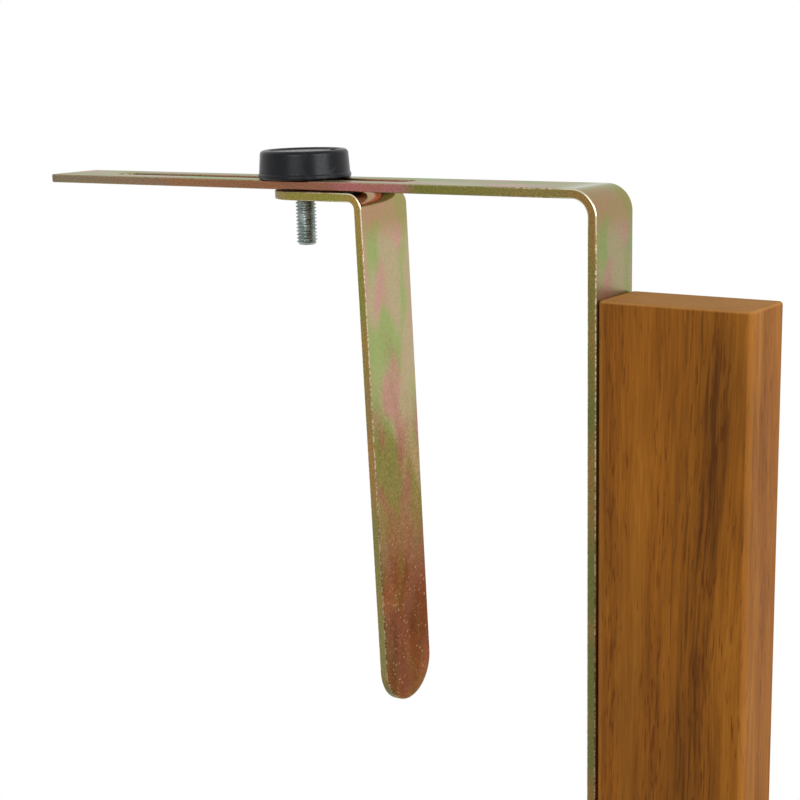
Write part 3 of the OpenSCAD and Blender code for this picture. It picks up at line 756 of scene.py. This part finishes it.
def markGrain(obj, origin, along, across, number=None):
    # the board's own coordinates, and its number where it has one
    x, y = np.array(Vector(along).normalized()), np.array(Vector(across).normalized())
    axes = np.stack([x, y, np.cross(x, y)])
    addMark(obj, "grain", (pointsOf(obj) - np.array(origin) * mm) @ axes.T)
    if number:
        addMark(obj, "boardSeed", np.full(len(obj.data.vertices), number * boardStep))


def finishBoard(obj, origin, along, across, body, stoodFor, holes=None):
    # puts a board in its place, cuts its screw holes and keeps its own grain with it
    place(obj, origin, along, across)
    markEnds(obj, along)
    if holes:
        cutScrewHoles(obj, *holes)
    markGrain(obj, origin, along, across, next(boardNumbers))
    finishPiece(obj, wood, body, stoodFor)


# Uprights and rear rails

uprights = {"length": 630.0, "top": -25.0, "ease": 0.8}
rails = {
    "thick": 18.0, "height": 40.0, "z": {"upper_rail": -288.0, "lower_rail": -595.0}, "ease": 0.3,
    "screwSpread": 10.0, "screwLength": 50.0,
}
railX = table["strapThick"] + rails["thick"] / 2


def railScrews(s):
    return [((railX, s * uprightOut, z + step), (0, s, 0))
            for z in rails["z"].values() for step in bothWays(rails["screwSpread"])]


for side, s in sides.items():
    piece = board(side + "Upright", uprights["length"], table["uprightDepth"],
                  table["uprightThick"], uprights["ease"])
    finishBoard(piece, (uprightMiddle, s * (uprightIn + uprightOut) / 2, uprights["top"]),
                (0, 0, -1), (1, 0, 0), "frame", [side + "_upright"],
                (railScrews(s), rails["screwLength"]))
for name, z in rails["z"].items():
    piece = board(name.replace("_rail", "RearRail"), 2 * uprightIn, rails["height"],
                  rails["thick"], rails["ease"])
    finishBoard(piece, (railX, -uprightIn, z), (0, 1, 0), (0, 0, 1), "frame", [name])
print("uprights and rear rails made")


# Geometry Nodes trees

def newTree(name, sizes):
    # sizes: (name, socket kind, usual value)
    tree = bpy.data.node_groups.new(name, "GeometryNodeTree")
    tree.interface.new_socket("Geometry", in_out="OUTPUT", socket_type="NodeSocketGeometry")
    tree.interface.new_socket("Geometry", in_out="INPUT", socket_type="NodeSocketGeometry")
    for label, kind, value in (*sizes, ("Material", "Material", None)):
        socket = tree.interface.new_socket(label, in_out="INPUT", socket_type="NodeSocket" + kind)
        if value is not None:
            socket.default_value = value
    return tree, addNode(tree, "NodeGroupInput").outputs


def endTree(tree, given, shape):
    real = addNode(tree, "GeometryNodeRealizeInstances", {}, {0: shape})
    paint = addNode(tree, "GeometryNodeSetMaterial", {}, {
        "Geometry": real, "Material": given["Material"]})
    addNode(tree, "NodeGroupOutput", {}, {0: paint})
    return tree


def fromTree(obj, tree, **values):
    # runs a tree on an object and keeps the plain mesh
    run = obj.modifiers.new(tree.name, "NODES")
    run.node_group = tree
    for item in tree.interface.items_tree:
        if item.in_out == "INPUT" and item.name in values:
            run[item.identifier] = values[item.name]
    return evaluated(obj)


def makeScrewTree():
    # a countersunk screw with a cross drive on each point, turned to its own way out
    tree, given = newTree("countersunkScrews", [
        ("HeadDiameter", "Float", 0.008), ("ShankDiameter", "Float", 0.004),
        ("Length", "Float", 0.04), ("DriveWidth", "Float", 0.0042),
        ("DriveSlot", "Float", 0.00085), ("DriveDepth", "Float", 0.0014), ("Seed", "Int", 7)])
    size = {name: given[name] for name in (
        "HeadDiameter", "ShankDiameter", "Length", "DriveWidth", "DriveSlot", "DriveDepth")}
    for name, operation, a, b in (
            ("headR", "DIVIDE", "HeadDiameter", 2.0),
            ("shankR", "DIVIDE", "ShankDiameter", 2.0),
            ("neck", "SUBTRACT", "headR", "shankR"),
            ("underHead", "MULTIPLY", "neck", -1.0),
            ("slotHeight", "MULTIPLY", "DriveDepth", 2.0),
            ("coreR", "MULTIPLY", "DriveWidth", 0.27),
            ("coreFoot", "MULTIPLY", "DriveDepth", -0.98),
            ("shankLength", "SUBTRACT", "Length", "neck"),
            ("tip", "MULTIPLY", "Length", -1.0)):
        size[name] = addNode(tree, "ShaderNodeMath", {"operation": operation}, {
            0: size[a], 1: size.get(b, b)})
    slot = addNode(tree, "GeometryNodeMeshCube", {}, {
        "Size": addNode(tree, "ShaderNodeCombineXYZ", {}, {
            "X": size["DriveWidth"], "Y": size["DriveSlot"], "Z": size["slotHeight"]})})
    crossed = addNode(tree, "GeometryNodeTransform", {}, {
        "Geometry": slot, "Rotation": (0.0, 0.0, math.pi / 2)})
    cones = {}
    for name, around, top, bottom, depth, foot in (
            ("head", 40, "headR", "shankR", "neck", "underHead"),
            ("core", 16, "coreR", 0.0001, "DriveDepth", "coreFoot"),
            ("shank", 16, "shankR", 0.0004, "shankLength", "tip")):
        cone = addNode(tree, "GeometryNodeMeshCone", {}, {
            "Vertices": around, "Radius Top": size[top], "Radius Bottom": size.get(bottom, bottom),
            "Depth": size[depth]})
        cones[name] = addNode(tree, "GeometryNodeTransform", {}, {
            "Geometry": cone,
            "Translation": addNode(tree, "ShaderNodeCombineXYZ", {}, {"Z": size[foot]})})
    cut = addNode(tree, "GeometryNodeMeshBoolean", {"operation": "DIFFERENCE", "solver": "EXACT"}, {
        "Mesh 1": cones["head"], "Mesh 2": [slot, crossed, cones["core"]]})
    screw = addNode(tree, "GeometryNodeJoinGeometry", {}, {0: [cut, cones["shank"]]})
    turn = addNode(tree, "FunctionNodeAlignRotationToVector", {"axis": "Z"}, {
        "Vector": addNode(tree, "GeometryNodeInputNamedAttribute", {"data_type": "FLOAT_VECTOR"}, {
            "Name": "aim"})})
    copies = addNode(tree, "GeometryNodeInstanceOnPoints", {}, {
        "Points": addNode(tree, "GeometryNodeMeshToPoints", {}, {"Mesh": given["Geometry"]}),
        "Instance": screw, "Rotation": turn})
    twist = addNode(tree, "FunctionNodeRandomValue", {"data_type": "FLOAT"}, {
        2: 0.0, 3: math.pi, "Seed": given["Seed"]})
    twisted = addNode(tree, "GeometryNodeRotateInstances", {}, {
        "Instances": copies, "Local Space": True,
        "Rotation": addNode(tree, "ShaderNodeCombineXYZ", {}, {"Z": twist})})
    return endTree(tree, given, twisted)


screwTree = makeScrewTree()


def driveScrews(name, places, length, finish, body, stoodFor, seed):
    obj = addMesh(name, [point for point, way in places], [])
    addMark(obj, "aim", [way for point, way in places])
    fromTree(obj, screwTree, Length=length * mm, Seed=seed, Material=finish[0],
             HeadDiameter=screws["head"] * mm, ShankDiameter=screws["shank"] * mm)
    addMark(obj, "strip", pointsOf(obj))
    finishPiece(obj, finish, body, stoodFor)


# Hooks

hooks = {
    "reach": 190.0, "foot": -215.0, "bendR": 4.5, "cornerR": 1.5, "arris": 0.4,
    "slotNear": 58.5, "slotLength": 110.0, "slotWidth": 6.6,
    "screwZ": (-45.0, -120.0, -195.0), "screwLength": 30.0,
    "holeDepth": 3.0,  # right through the strip
}


def makeHook(side, s):
    size = hooks
    thick, bendR, r = table["strapThick"], size["bendR"], size["cornerR"]
    middle = bendR + thick / 2
    arm = size["reach"] - bendR
    turnLength = middle * math.pi / 2
    end = turnLength - size["foot"] - bendR
    w = table["hookWidth"] / 2
    outline = (arc(end - r, w - r, r, 0, 90, 6) + arc(-arm + r, w - r, r, 90, 180, 6)
               + arc(-arm + r, -w + r, r, 180, 270, 6) + arc(end - r, -w + r, r, 270, 360, 6))
    slotR = size["slotWidth"] / 2
    near = bendR - size["slotNear"] - slotR
    far = bendR - size["slotNear"] - size["slotLength"] + slotR
    slotLoop = arc(near, 0, slotR, 90, -90, 20) + arc(far, 0, slotR, 270, 90, 20)
    obj = plate(side + "HookStrap", [outline, slotLoop], thick, size["arris"])
    cutScrewHoles(obj, [((turnLength - z - bendR, 0, -thick / 2), (0, 0, -1))
                        for z in size["screwZ"]], size["holeDepth"])
    bendStrip(obj, (-bendR, -bendR), middle, math.pi / 2)
    shift(obj, 0, s * table["hookY"], 0)
    finishPiece(obj, strapZinc, "frame", [side + "_hook_strap"])


for side, s in sides.items():
    makeHook(side, s)
driveScrews("strapScrews", [((0, s * table["hookY"], z), (-1, 0, 0))
                            for s in sides.values() for z in hooks["screwZ"]],
            hooks["screwLength"], strapZinc, "frame", ["strap_screws"], seed=3)
driveScrews("frameScrews", [each for s in sides.values() for each in railScrews(s)],
            rails["screwLength"], blueZinc, "frame", ["frame_screws"], seed=5)
print("hooks made")


# Clamps

clamps = {
    "x": -96.0, "width": 22.0, "thick": 2.5, "end": 8.0, "reach": 27.5, "drop": 148.0,
    "bendR": 2.0, "lean": 2.0, "gap": 0.35, "arris": 0.4, "holeR": 3.05,
}


def makeBracket(side, s):
    size = clamps
    outer = size["bendR"] + size["thick"]
    middle = size["bendR"] + size["thick"] / 2
    arm = size["end"] + size["reach"] - outer
    turn = math.radians(90 - size["lean"])
    leg = (size["drop"] - outer) / math.cos(math.radians(size["lean"]))
    end = middle * turn + leg
    w = size["width"] / 2
    outline = arc(end - w, 0, w, -90, 90, 48) + arc(-arm + w, 0, w, 90, 270, 48)
    hole = circle(-arm + size["end"], 0, size["holeR"], 40)
    obj = plate(side + "ClampBracket", [outline, hole], size["thick"], size["arris"])
    bendStrip(obj, (size["x"] + size["reach"] - outer, -size["gap"] - outer), middle, turn)
    shift(obj, 0, s * table["hookY"], 0)
    finishPiece(obj, bracketZinc, side + "_clamp", [side + "_clamp_bracket"])


knobs = {
    "foot": 2.65, "r": 13.3, "draft": 0.7, "height": 8.0, "edgeR": 1.3, "floor": 1.0,
    "clear": 0.05,
    # the ridge round the foot: how far out of the flank, and how high
    "ridge": ((-0.6, 0), (-0.2, 0.15), (0, 0.5), (-0.04, 1.2), (-0.3, 1.5), (-0.34, 1.9)),
    # from the rim into the dish: how far inwards, and how low
    "dish": ((0.35, 0.05), (0.7, 0.25), (1.0, 0.5)),
    # what the mould's gate left
    "nib": {"x": 4.0, "y": 8.2, "r": 0.8, "height": 0.4, "root": 0.3},
    "boltR": 3.0, "boltLength": 20.0, "boltTip": 4.5, "headAf": 10.0, "headHeight": 4.0,
}


def makeKnob(side, s):
    size = knobs
    height, edgeR, floor = size["height"], size["edgeR"], size["floor"]
    topR = size["r"] - size["draft"]
    bore = size["boltR"] + size["clear"]
    # the recess from below that holds the bolt's head
    top = floor + size["headHeight"] + size["clear"]
    room = size["headAf"] / math.sqrt(3) + size["clear"]
    profile = [(0, top), (room, top), (room, floor), (bore, floor), (bore, 0)]
    profile += [(size["r"] + out, z) for out, z in size["ridge"]]
    profile += arc(topR - edgeR, height - edgeR, edgeR, 0, 90, 8)
    profile += [(topR - edgeR - inwards, height - low) for inwards, low in size["dish"]]
    dished = height - size["dish"][-1][1]
    profile.append((0, dished - 0.02))
    cap = turned(side + "KnobCap", profile, 96)
    nib = size["nib"]
    dome = turned("nib", [(0, -nib["root"]), (nib["r"], -nib["root"]),
                          (nib["r"], nib["height"] * 0.5), (nib["r"] * 0.7, nib["height"] * 0.9),
                          (0, nib["height"])], 20)
    shift(dome, nib["x"], nib["y"], dished)
    obj = shift(join(side + "KnobCap", [cap, dome]), clamps["x"], s * table["hookY"], size["foot"])
    finishPiece(obj, blackNylon, side + "_knob", [side + "_knob_cap"])


def makeThreadTree():
    # a bolt's thread: a grid whose X runs round the thread and whose Y runs down it
    tree, given = newTree("metricThread", [
        ("Diameter", "Float", 0.006), ("Pitch", "Float", 0.001), ("Length", "Float", 0.02),
        ("Tip", "Float", 0.0045), ("Around", "Int", 48), ("PerTurn", "Int", 14)])
    at = addNode(tree, "ShaderNodeSeparateXYZ", {}, {
        0: addNode(tree, "GeometryNodeInputPosition")}).outputs
    size = {name: given[name] for name in (
        "Diameter", "Pitch", "Length", "Tip", "Around", "PerTurn")}
    size.update(x=at["X"], y=at["Y"])
    for name, operation, a, b in (
            ("turns", "DIVIDE", "Length", "Pitch"),
            ("rows", "MULTIPLY", "turns", "PerTurn"),
            ("columns", "ADD", "Around", 1.0),
            ("round", "ADD", "x", 0.5),
            ("down", "ADD", "y", 0.5),
            ("depth", "MULTIPLY", "down", "Length"),
            ("passed", "DIVIDE", "depth", "Pitch"),
            ("wound", "ADD", "passed", "round"),
            ("phase", "FRACT", "wound", 0.0),
            ("doubled", "MULTIPLY", "phase", 2.0),
            ("centred", "SUBTRACT", "doubled", 1.0),
            ("ridge", "ABSOLUTE", "centred", 0.0),
            ("outer", "DIVIDE", "Diameter", 2.0),
            ("cutDepth", "MULTIPLY", "Pitch", 0.6),
            ("tipR", "DIVIDE", "Tip", 2.0),
            ("left", "SUBTRACT", "Length", "depth"),
            ("chamfer", "ADD", "tipR", "left"),
            ("angle", "MULTIPLY", "round", -2 * math.pi),
            ("cosine", "COSINE", "angle", 0.0),
            ("sine", "SINE", "angle", 0.0),
            ("below", "MULTIPLY", "depth", -1.0),
            ("foot", "MULTIPLY", "Length", -1.0),
            ("flank", None, "ridge", (0.12, 0.9)),  # flat crests and roots, with straight flanks
            ("cut", "MULTIPLY", "flank", "cutDepth"),
            ("threaded", "SUBTRACT", "outer", "cut"),
            ("radius", "MINIMUM", "threaded", "chamfer"),
            ("newX", "MULTIPLY", "radius", "cosine"),
            ("newY", "MULTIPLY", "radius", "sine")):
        if operation:
            size[name] = addNode(tree, "ShaderNodeMath", {"operation": operation}, {
                0: size[a], 1: size.get(b, b)})
        else:
            size[name] = addNode(tree, "ShaderNodeMapRange", {}, {
                "Value": size[a], "From Min": b[0], "From Max": b[1]})
    grid = addNode(tree, "GeometryNodeMeshGrid", {}, {
        "Size X": 1.0, "Size Y": 1.0, "Vertices X": size["columns"], "Vertices Y": size["rows"]})
    wound = addNode(tree, "GeometryNodeSetPosition", {}, {
        "Geometry": grid,
        "Position": addNode(tree, "ShaderNodeCombineXYZ", {}, {
            "X": size["newX"], "Y": size["newY"], "Z": size["below"]})})
    cap = addNode(tree, "GeometryNodeMeshCircle", {"fill_type": "NGON"}, {
        "Vertices": size["Around"], "Radius": size["tipR"]})
    cap = addNode(tree, "GeometryNodeTransform", {}, {
        "Geometry": cap,
        "Translation": addNode(tree, "ShaderNodeCombineXYZ", {}, {"Z": size["foot"]})})
    both = addNode(tree, "GeometryNodeJoinGeometry", {}, {0: [wound, cap]})
    welded = addNode(tree, "GeometryNodeMergeByDistance", {}, {
        "Geometry": both, "Distance": 0.000002})
    return endTree(tree, given, welded)


threadTree = makeThreadTree()


def makeClampBolt(side, s):
    size = knobs
    bolt = addMesh(side + "ClampBolt", [(0, 0, 0)], [])
    fromTree(bolt, threadTree, Diameter=2 * size["boltR"] * mm, Length=size["boltLength"] * mm,
             Tip=size["boltTip"] * mm, Material=blueZinc[0])
    af, height = size["headAf"], size["headHeight"]
    head = turned("head", [(0, 0), (af, 0), (af, height), (0, height)], 72, af)
    bolt = join(side + "ClampBolt", [bolt, head])
    shift(bolt, clamps["x"], s * table["hookY"], size["foot"] + size["floor"])
    finishPiece(outward(bolt), blueZinc, side + "_knob", [side + "_knob_bolt"], angle=40)


for side, s in sides.items():
    makeBracket(side, s)
    makeKnob(side, s)
    makeClampBolt(side, s)
print("clamps made")


# Tabletop

slats = {
    "count": 8, "length": 600.0, "width": 43.0, "gap": 6.0, "ease": 1.2,
    "screwSpread": 10.75, "screwY": 250.8, "screwLength": 42.0,
}
aprons = {"in": 241.8, "thick": 18.0, "height": 45.0, "front": 429.5, "cornerR": 25.0,
          "edgeR": 1.6}
catches = {
    "x": 199.0, "length": 70.0, "width": 25.0, "depth": 14.0, "y": 165.0, "slope": 16.0,
    "lip": 0.05, "arris": 0.4, "screwX": (207.0, 261.0), "screwLength": 25.0,
}
slatPitch = slats["width"] + slats["gap"]
slatX = uprightFront + table["foldGap"] + slats["width"] / 2  # the first slat's middle


def makeSlatTree():
    # a row of copies of one slat, each with its own stretch of grain
    tree, given = newTree("slatRow", [
        ("Count", "Int", 8), ("Pitch", "Float", 0.049), ("Seed", "Int", 11)])
    line = addNode(tree, "GeometryNodeMeshLine", {"mode": "OFFSET"}, {
        "Count": given["Count"],
        "Offset": addNode(tree, "ShaderNodeCombineXYZ", {}, {"X": given["Pitch"]})})
    copies = addNode(tree, "GeometryNodeInstanceOnPoints", {}, {
        "Points": line, "Instance": given["Geometry"]})
    pick = addNode(tree, "FunctionNodeRandomValue", {"data_type": "FLOAT"}, {
        2: 20.0, 3: 90.0, "Seed": given["Seed"]})
    marked = addNode(tree, "GeometryNodeStoreNamedAttribute", {
        "data_type": "FLOAT", "domain": "INSTANCE"}, {
        "Geometry": copies, "Name": "boardSeed", "Value": pick})
    return endTree(tree, given, marked)


def slatScrews(i):
    return [((slatX + i * slatPitch + step, s * slats["screwY"], table["slatTop"]), (0, 0, 1))
            for s in sides.values() for step in bothWays(slats["screwSpread"])]


def makeSlats():
    origin = (slatX, -slats["length"] / 2, table["slatTop"] - table["slatThick"] / 2)
    along, across = (0, 1, 0), (1, 0, 0)
    slat = board("slats", slats["length"], slats["width"], table["slatThick"], slats["ease"])
    place(slat, origin, along, across)
    markEnds(slat, along)
    cutScrewHoles(slat, slatScrews(0), table["slatThick"])
    markGrain(slat, origin, along, across)
    fromTree(slat, makeSlatTree(), Count=slats["count"], Pitch=slatPitch * mm, Seed=11,
             Material=wood[0])
    finishPiece(slat, wood, "tabletop", ["slat_%d" % (i + 1) for i in range(slats["count"])])
    driveScrews("slatScrews", [each for i in range(slats["count"]) for each in slatScrews(i)],
                slats["screwLength"], blueZinc, "tabletop", ["slat_screws"], seed=9)


def makeApron(side, s):
    size = aprons
    r, c, e = size["height"] / 2, size["cornerR"], size["edgeR"]
    length = size["front"] - table["strapThick"]
    outline = (arc(r, 0, r, 90, 270, 40) + arc(length - c, -r + c, c, 270, 360, 16)
               + arc(length - e, r - e, e, 0, 90, 6))
    obj = plate(side + "Apron", [outline], size["thick"], table["edge"], 5)
    middle = s * (size["in"] + size["thick"] / 2)
    finishBoard(obj, (table["strapThick"], middle, slatUnder - r), (1, 0, 0), (0, 0, 1),
                "tabletop", [side + "_apron"])


def catchScrews(s):
    return [((x, s * catches["y"], slatUnder - catches["depth"]), (0, 0, -1))
            for x in catches["screwX"]]


def makeCatch(side, s):
    size = catches
    seatR, depth = table["seatR"], size["depth"]
    # the outline has its origin at the block's rear top corner
    barX, barZ = barAt[0] - size["x"], barAt[1] - slatUnder
    slope = math.radians(size["slope"])
    reach = seatR - size["lip"]
    # where the sloping front leaves the seat, and where it comes out of the block
    off = math.degrees(math.acos(reach / seatR))
    startX = barX + reach * math.sin(slope)
    startZ = barZ + reach * math.cos(slope)
    endX = startX + (startZ + depth) / math.tan(slope)
    outline = [(0, 0), (0, -depth), (barX - seatR, -depth)]
    outline += arc(barX, barZ, seatR, 180, 90 - size["slope"] + off, 24)
    outline += [(endX, -depth), (size["length"], -depth), (size["length"], 0)]
    obj = plate(side + "CatchBlock", [outline], size["width"], size["arris"], 2)
    finishBoard(obj, (size["x"], s * size["y"], slatUnder), (1, 0, 0), (0, 0, 1), "tabletop",
                [side + "_catch_block"], (catchScrews(s), size["screwLength"]))


makeSlats()
for side, s in sides.items():
    makeApron(side, s)
    makeCatch(side, s)
driveScrews("catchScrews", [each for s in sides.values() for each in catchScrews(s)],
            catches["screwLength"], blueZinc, "tabletop", ["catch_screws"], seed=13)
print("tabletop made")


# Prop

props = {
    "in": 200.7, "thick": 18.0, "depth": 20.0, "barR": 9.0, "letIn": 10.0, "bevel": 1.0,
    "railAt": 140.0, "railWidth": 30.0, "railThick": 14.0, "railEase": 0.3,
    "screwSpread": 7.5, "screwLength": 40.0,
}
propRailAt = props["railAt"] + props["railWidth"] / 2


def propScrews(s):
    return [(inProp(propRailAt + step, s * (props["in"] + props["thick"])), (0, s, 0))
            for step in bothWays(props["screwSpread"])]


def makePropLeg(side, s):
    size = props
    r = size["depth"] / 2
    outline = arc(0, 0, r, 90, 270, 28) + arc(propLine.length, 0, r, 270, 450, 28)
    obj = plate(side + "PropLeg", [outline], size["thick"], table["edge"], 5)
    finishBoard(obj, inProp(0, s * (size["in"] + size["thick"] / 2)), propAlong, propUp, "prop",
                [side + "_prop_leg"], (propScrews(s), size["screwLength"]))


def makePropBars():
    size = props
    r, bevel = size["barR"], size["bevel"]
    reach = size["in"] + size["letIn"]
    bar = turned("propBar", [(0, 0), (r - bevel, 0), (r, bevel), (r, 2 * reach - bevel),
                             (r - bevel, 2 * reach), (0, 2 * reach)], 64)
    # boards lie along X before they are placed, so Z is turned there
    bar.data.transform(Matrix(((0, 0, 1, 0), (1, 0, 0, 0), (0, 1, 0, 0), (0, 0, 0, 1))))
    finishBoard(bar, (barAt[0], -reach, barAt[1]), (0, 1, 0), (1, 0, 0), "prop", ["prop_bar"])
    rail = board("propRail", 2 * size["in"], size["railWidth"], size["railThick"],
                 size["railEase"])
    finishBoard(rail, inProp(propRailAt, -size["in"]), (0, 1, 0), propAlong, "prop",
                ["prop_rail"])


for side, s in sides.items():
    makePropLeg(side, s)
makePropBars()
driveScrews("propScrews", [each for s in sides.values() for each in propScrews(s)],
            props["screwLength"], blueZinc, "prop", ["prop_screws"], seed=17)
print("prop made")


# Pivot hardware

pivots = {
    "af": 13.0, "headHeight": 5.3, "washerR": 8.5, "washerT": 1.6, "boltR": 4.0,
    "nutHeight": 6.5, "domeR": 5.5, "inNut": 8.3, "propBolt": 30.0, "play": 0.2,
}


def alongY(obj, centre, y, way):
    # turns a piece made up Z so that it points along Y, way being 1 or -1
    obj.data.transform(Matrix.Rotation(-way * math.pi / 2, 4, "X"))
    return shift(obj, centre[0], y, centre[1])


def washer():
    r, t, bore = pivots["washerR"], pivots["washerT"], pivots["boltR"] + 0.05
    return turned("washer", [(bore, 0.15), (bore + 0.15, 0), (r - 0.25, 0), (r, 0.25), (r, t - 0.35),
                             (r - 0.35, t), (bore + 0.15, t), (bore, t - 0.15), (bore, 0.15)], 64)


def hexFlank(height, bevel):
    # up the corners of a hexagon, eased at its foot and bevelled at its top
    corner = pivots["af"] / math.sqrt(3)
    return [(corner - 0.5, 0), (corner + 0.1, 0.35), (corner + 0.1, height - bevel)]


def hexBolt(length):
    height, af, r = pivots["headHeight"], pivots["af"], pivots["boltR"]
    return turned("bolt", [(0, -length), (r - 0.6, -length), (r, -length + 0.6), (r, 0),
                           *hexFlank(height, 0.75), (af / 2 - 0.3, height), (0, height)], 72, af)


def capNut():
    height, af, r = pivots["nutHeight"], pivots["af"], pivots["domeR"]
    dome = arc(0, height, r, 0, 90, 12)[:-1]
    return turned("nut", [(pivots["boltR"], 0), *hexFlank(height, 0.7), (af / 2 - 0.2, height),
                          *dome, (0, height + r)], 72, af)


def makePivots():
    t, play = pivots["washerT"], pivots["play"]
    headFace = aprons["in"] + aprons["thick"] + play + t
    nutFace = uprightIn - t
    propFace = props["in"] - play - t
    names = {"leaf_pivot_bolts": "tabletopPivotBolts", "leaf_pivot_washers": "tabletopPivotWashers",
             "leaf_pivot_nuts": "tabletopPivotNuts", "prop_pivot_bolts": "propPivotBolts",
             "prop_pivot_washers": "propPivotWashers"}
    made = {node: [] for node in names}
    for s in sides.values():
        bolt = hexBolt(headFace - nutFace + pivots["inNut"])
        made["leaf_pivot_bolts"].append(alongY(bolt, leafPivot, s * headFace, s))
        made["leaf_pivot_nuts"].append(alongY(capNut(), leafPivot, s * nutFace, -s))
        for y in (nutFace, uprightOut, headFace - t):
            made["leaf_pivot_washers"].append(alongY(washer(), leafPivot, s * y, s))
        bolt = hexBolt(pivots["propBolt"])
        made["prop_pivot_bolts"].append(alongY(bolt, propPivot, s * propFace, -s))
        for y in (propFace, props["in"] + props["thick"] + play):
            made["prop_pivot_washers"].append(alongY(washer(), propPivot, s * y, s))
    for node, pieces in made.items():
        finishPiece(outward(join(names[node], pieces)), blueZinc, "frame", [node], angle=40)


makePivots()
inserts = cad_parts["prop_insert_nuts"]
inserts.data.materials.clear()
inserts.data.materials.append(brass[0])
print("pivots made")


# Floor, light and camera

studio = {
    "floorZ": -660.0, "floorHalf": 6000.0, "floorWhite": "#f4f4f3",
    "middle": (200.0, 0.0, -660.0), "near": 600.0, "far": 1000.0,  # where the floor turns white
    "world": 0.6, "lit": (0, 150, -150),
    "key": {"at": (1250, 60, 420), "size": 900, "watts": 14.0},
    "fill": {"at": (300, -1400, 600), "size": 900, "watts": 11.5},
}
camera = {"at": (182.25, -120.44, 33.62), "aim": (-54.28, 215.1, -55.08), "roll": -1.43,
          "lens": 69.95, "sensor": 36.0}


def addSeen(tree, rays):
    # 1 for what the camera sees directly, in a reflection or through glass
    seen = rays["Is Camera Ray"]
    for kind in ("Is Glossy Ray", "Is Transmission Ray"):
        seen = addNode(tree, "ShaderNodeMath", {"operation": "MAXIMUM"}, {0: seen, 1: rays[kind]})
    return seen


def makeFloor():
    material, tree = newMaterial("paleStudioFloor")
    # plain near the table, where its shadow lies, and white to the eye farther off
    where = addNode(tree, "ShaderNodeTexCoord").outputs["Object"]
    distance = addNode(tree, "ShaderNodeVectorMath", {"operation": "DISTANCE"}, {
        0: where, 1: tuple(c * mm for c in studio["middle"])})
    far = addNode(tree, "ShaderNodeMapRange", {}, {
        "Value": distance.outputs["Value"], "From Min": studio["near"] * mm,
        "From Max": studio["far"] * mm})
    rays = addNode(tree, "ShaderNodeLightPath").outputs
    share = addNode(tree, "ShaderNodeMath", {"operation": "MULTIPLY"}, {
        0: addSeen(tree, rays), 1: far})
    plain = addNode(tree, "ShaderNodeBsdfDiffuse", {}, {"Color": linear(studio["floorWhite"])})
    white = addNode(tree, "ShaderNodeEmission", {}, {"Color": (1, 1, 1, 1), "Strength": 1.0})
    surface = addNode(tree, "ShaderNodeMixShader", {}, {0: share, 1: plain, 2: white})
    # a look from below the floor goes through it
    below = addNode(tree, "ShaderNodeMath", {"operation": "MULTIPLY"}, {
        0: rays["Is Camera Ray"],
        1: addNode(tree, "ShaderNodeNewGeometry").outputs["Backfacing"]})
    clear = addNode(tree, "ShaderNodeBsdfTransparent")
    surface = addNode(tree, "ShaderNodeMixShader", {}, {0: below, 1: surface, 2: clear})
    addNode(tree, "ShaderNodeOutputMaterial", {}, {"Surface": surface})
    half = studio["floorHalf"]
    floor = addMesh("floor", [(x * half, y * half, studio["floorZ"])
                              for x, y in ((-1, -1), (1, -1), (1, 1), (-1, 1))], [(0, 1, 2, 3)])
    floor.data.materials.append(material)


def makeWorld():
    world = bpy.data.worlds.new("studio")
    scene.world = world
    world.use_nodes = True
    tree = world.node_tree
    tree.nodes.clear()
    seen = addSeen(tree, addNode(tree, "ShaderNodeLightPath").outputs)
    strength = addNode(tree, "ShaderNodeMapRange", {}, {
        "Value": seen, "To Min": studio["world"], "To Max": 1.0})
    background = addNode(tree, "ShaderNodeBackground", {}, {
        "Color": (1, 1, 1, 1), "Strength": strength})
    addNode(tree, "ShaderNodeOutputWorld", {}, {"Surface": background})


def aimAt(obj, at, target, roll=0.0):
    # lamps and cameras look along their own -Z
    obj.location = Vector(at) * mm
    obj.rotation_mode = "QUATERNION"
    aim = (Vector(target) - Vector(at)).to_track_quat("-Z", "Y")
    obj.rotation_quaternion = aim @ Quaternion((0, 0, 1), math.radians(roll))


def addSoftbox(name, light):
    lamp = bpy.data.lights.new(name, "AREA")
    lamp.shape = "SQUARE"
    lamp.size = light["size"] * mm
    lamp.energy = light["watts"]
    aimAt(addObject(name, lamp), light["at"], studio["lit"])


def addCamera():
    lens = bpy.data.cameras.new("camera")
    lens.lens = camera["lens"]
    lens.sensor_width = camera["sensor"]
    lens.clip_start = 0.01
    lens.clip_end = 50.0
    scene.camera = addObject("camera", lens)
    aimAt(scene.camera, camera["at"], camera["aim"], camera["roll"])


makeFloor()
makeWorld()
addSoftbox("key", studio["key"])
addSoftbox("fill", studio["fill"])
addCamera()
scene.view_settings.view_transform = "Standard"
print("studio made")
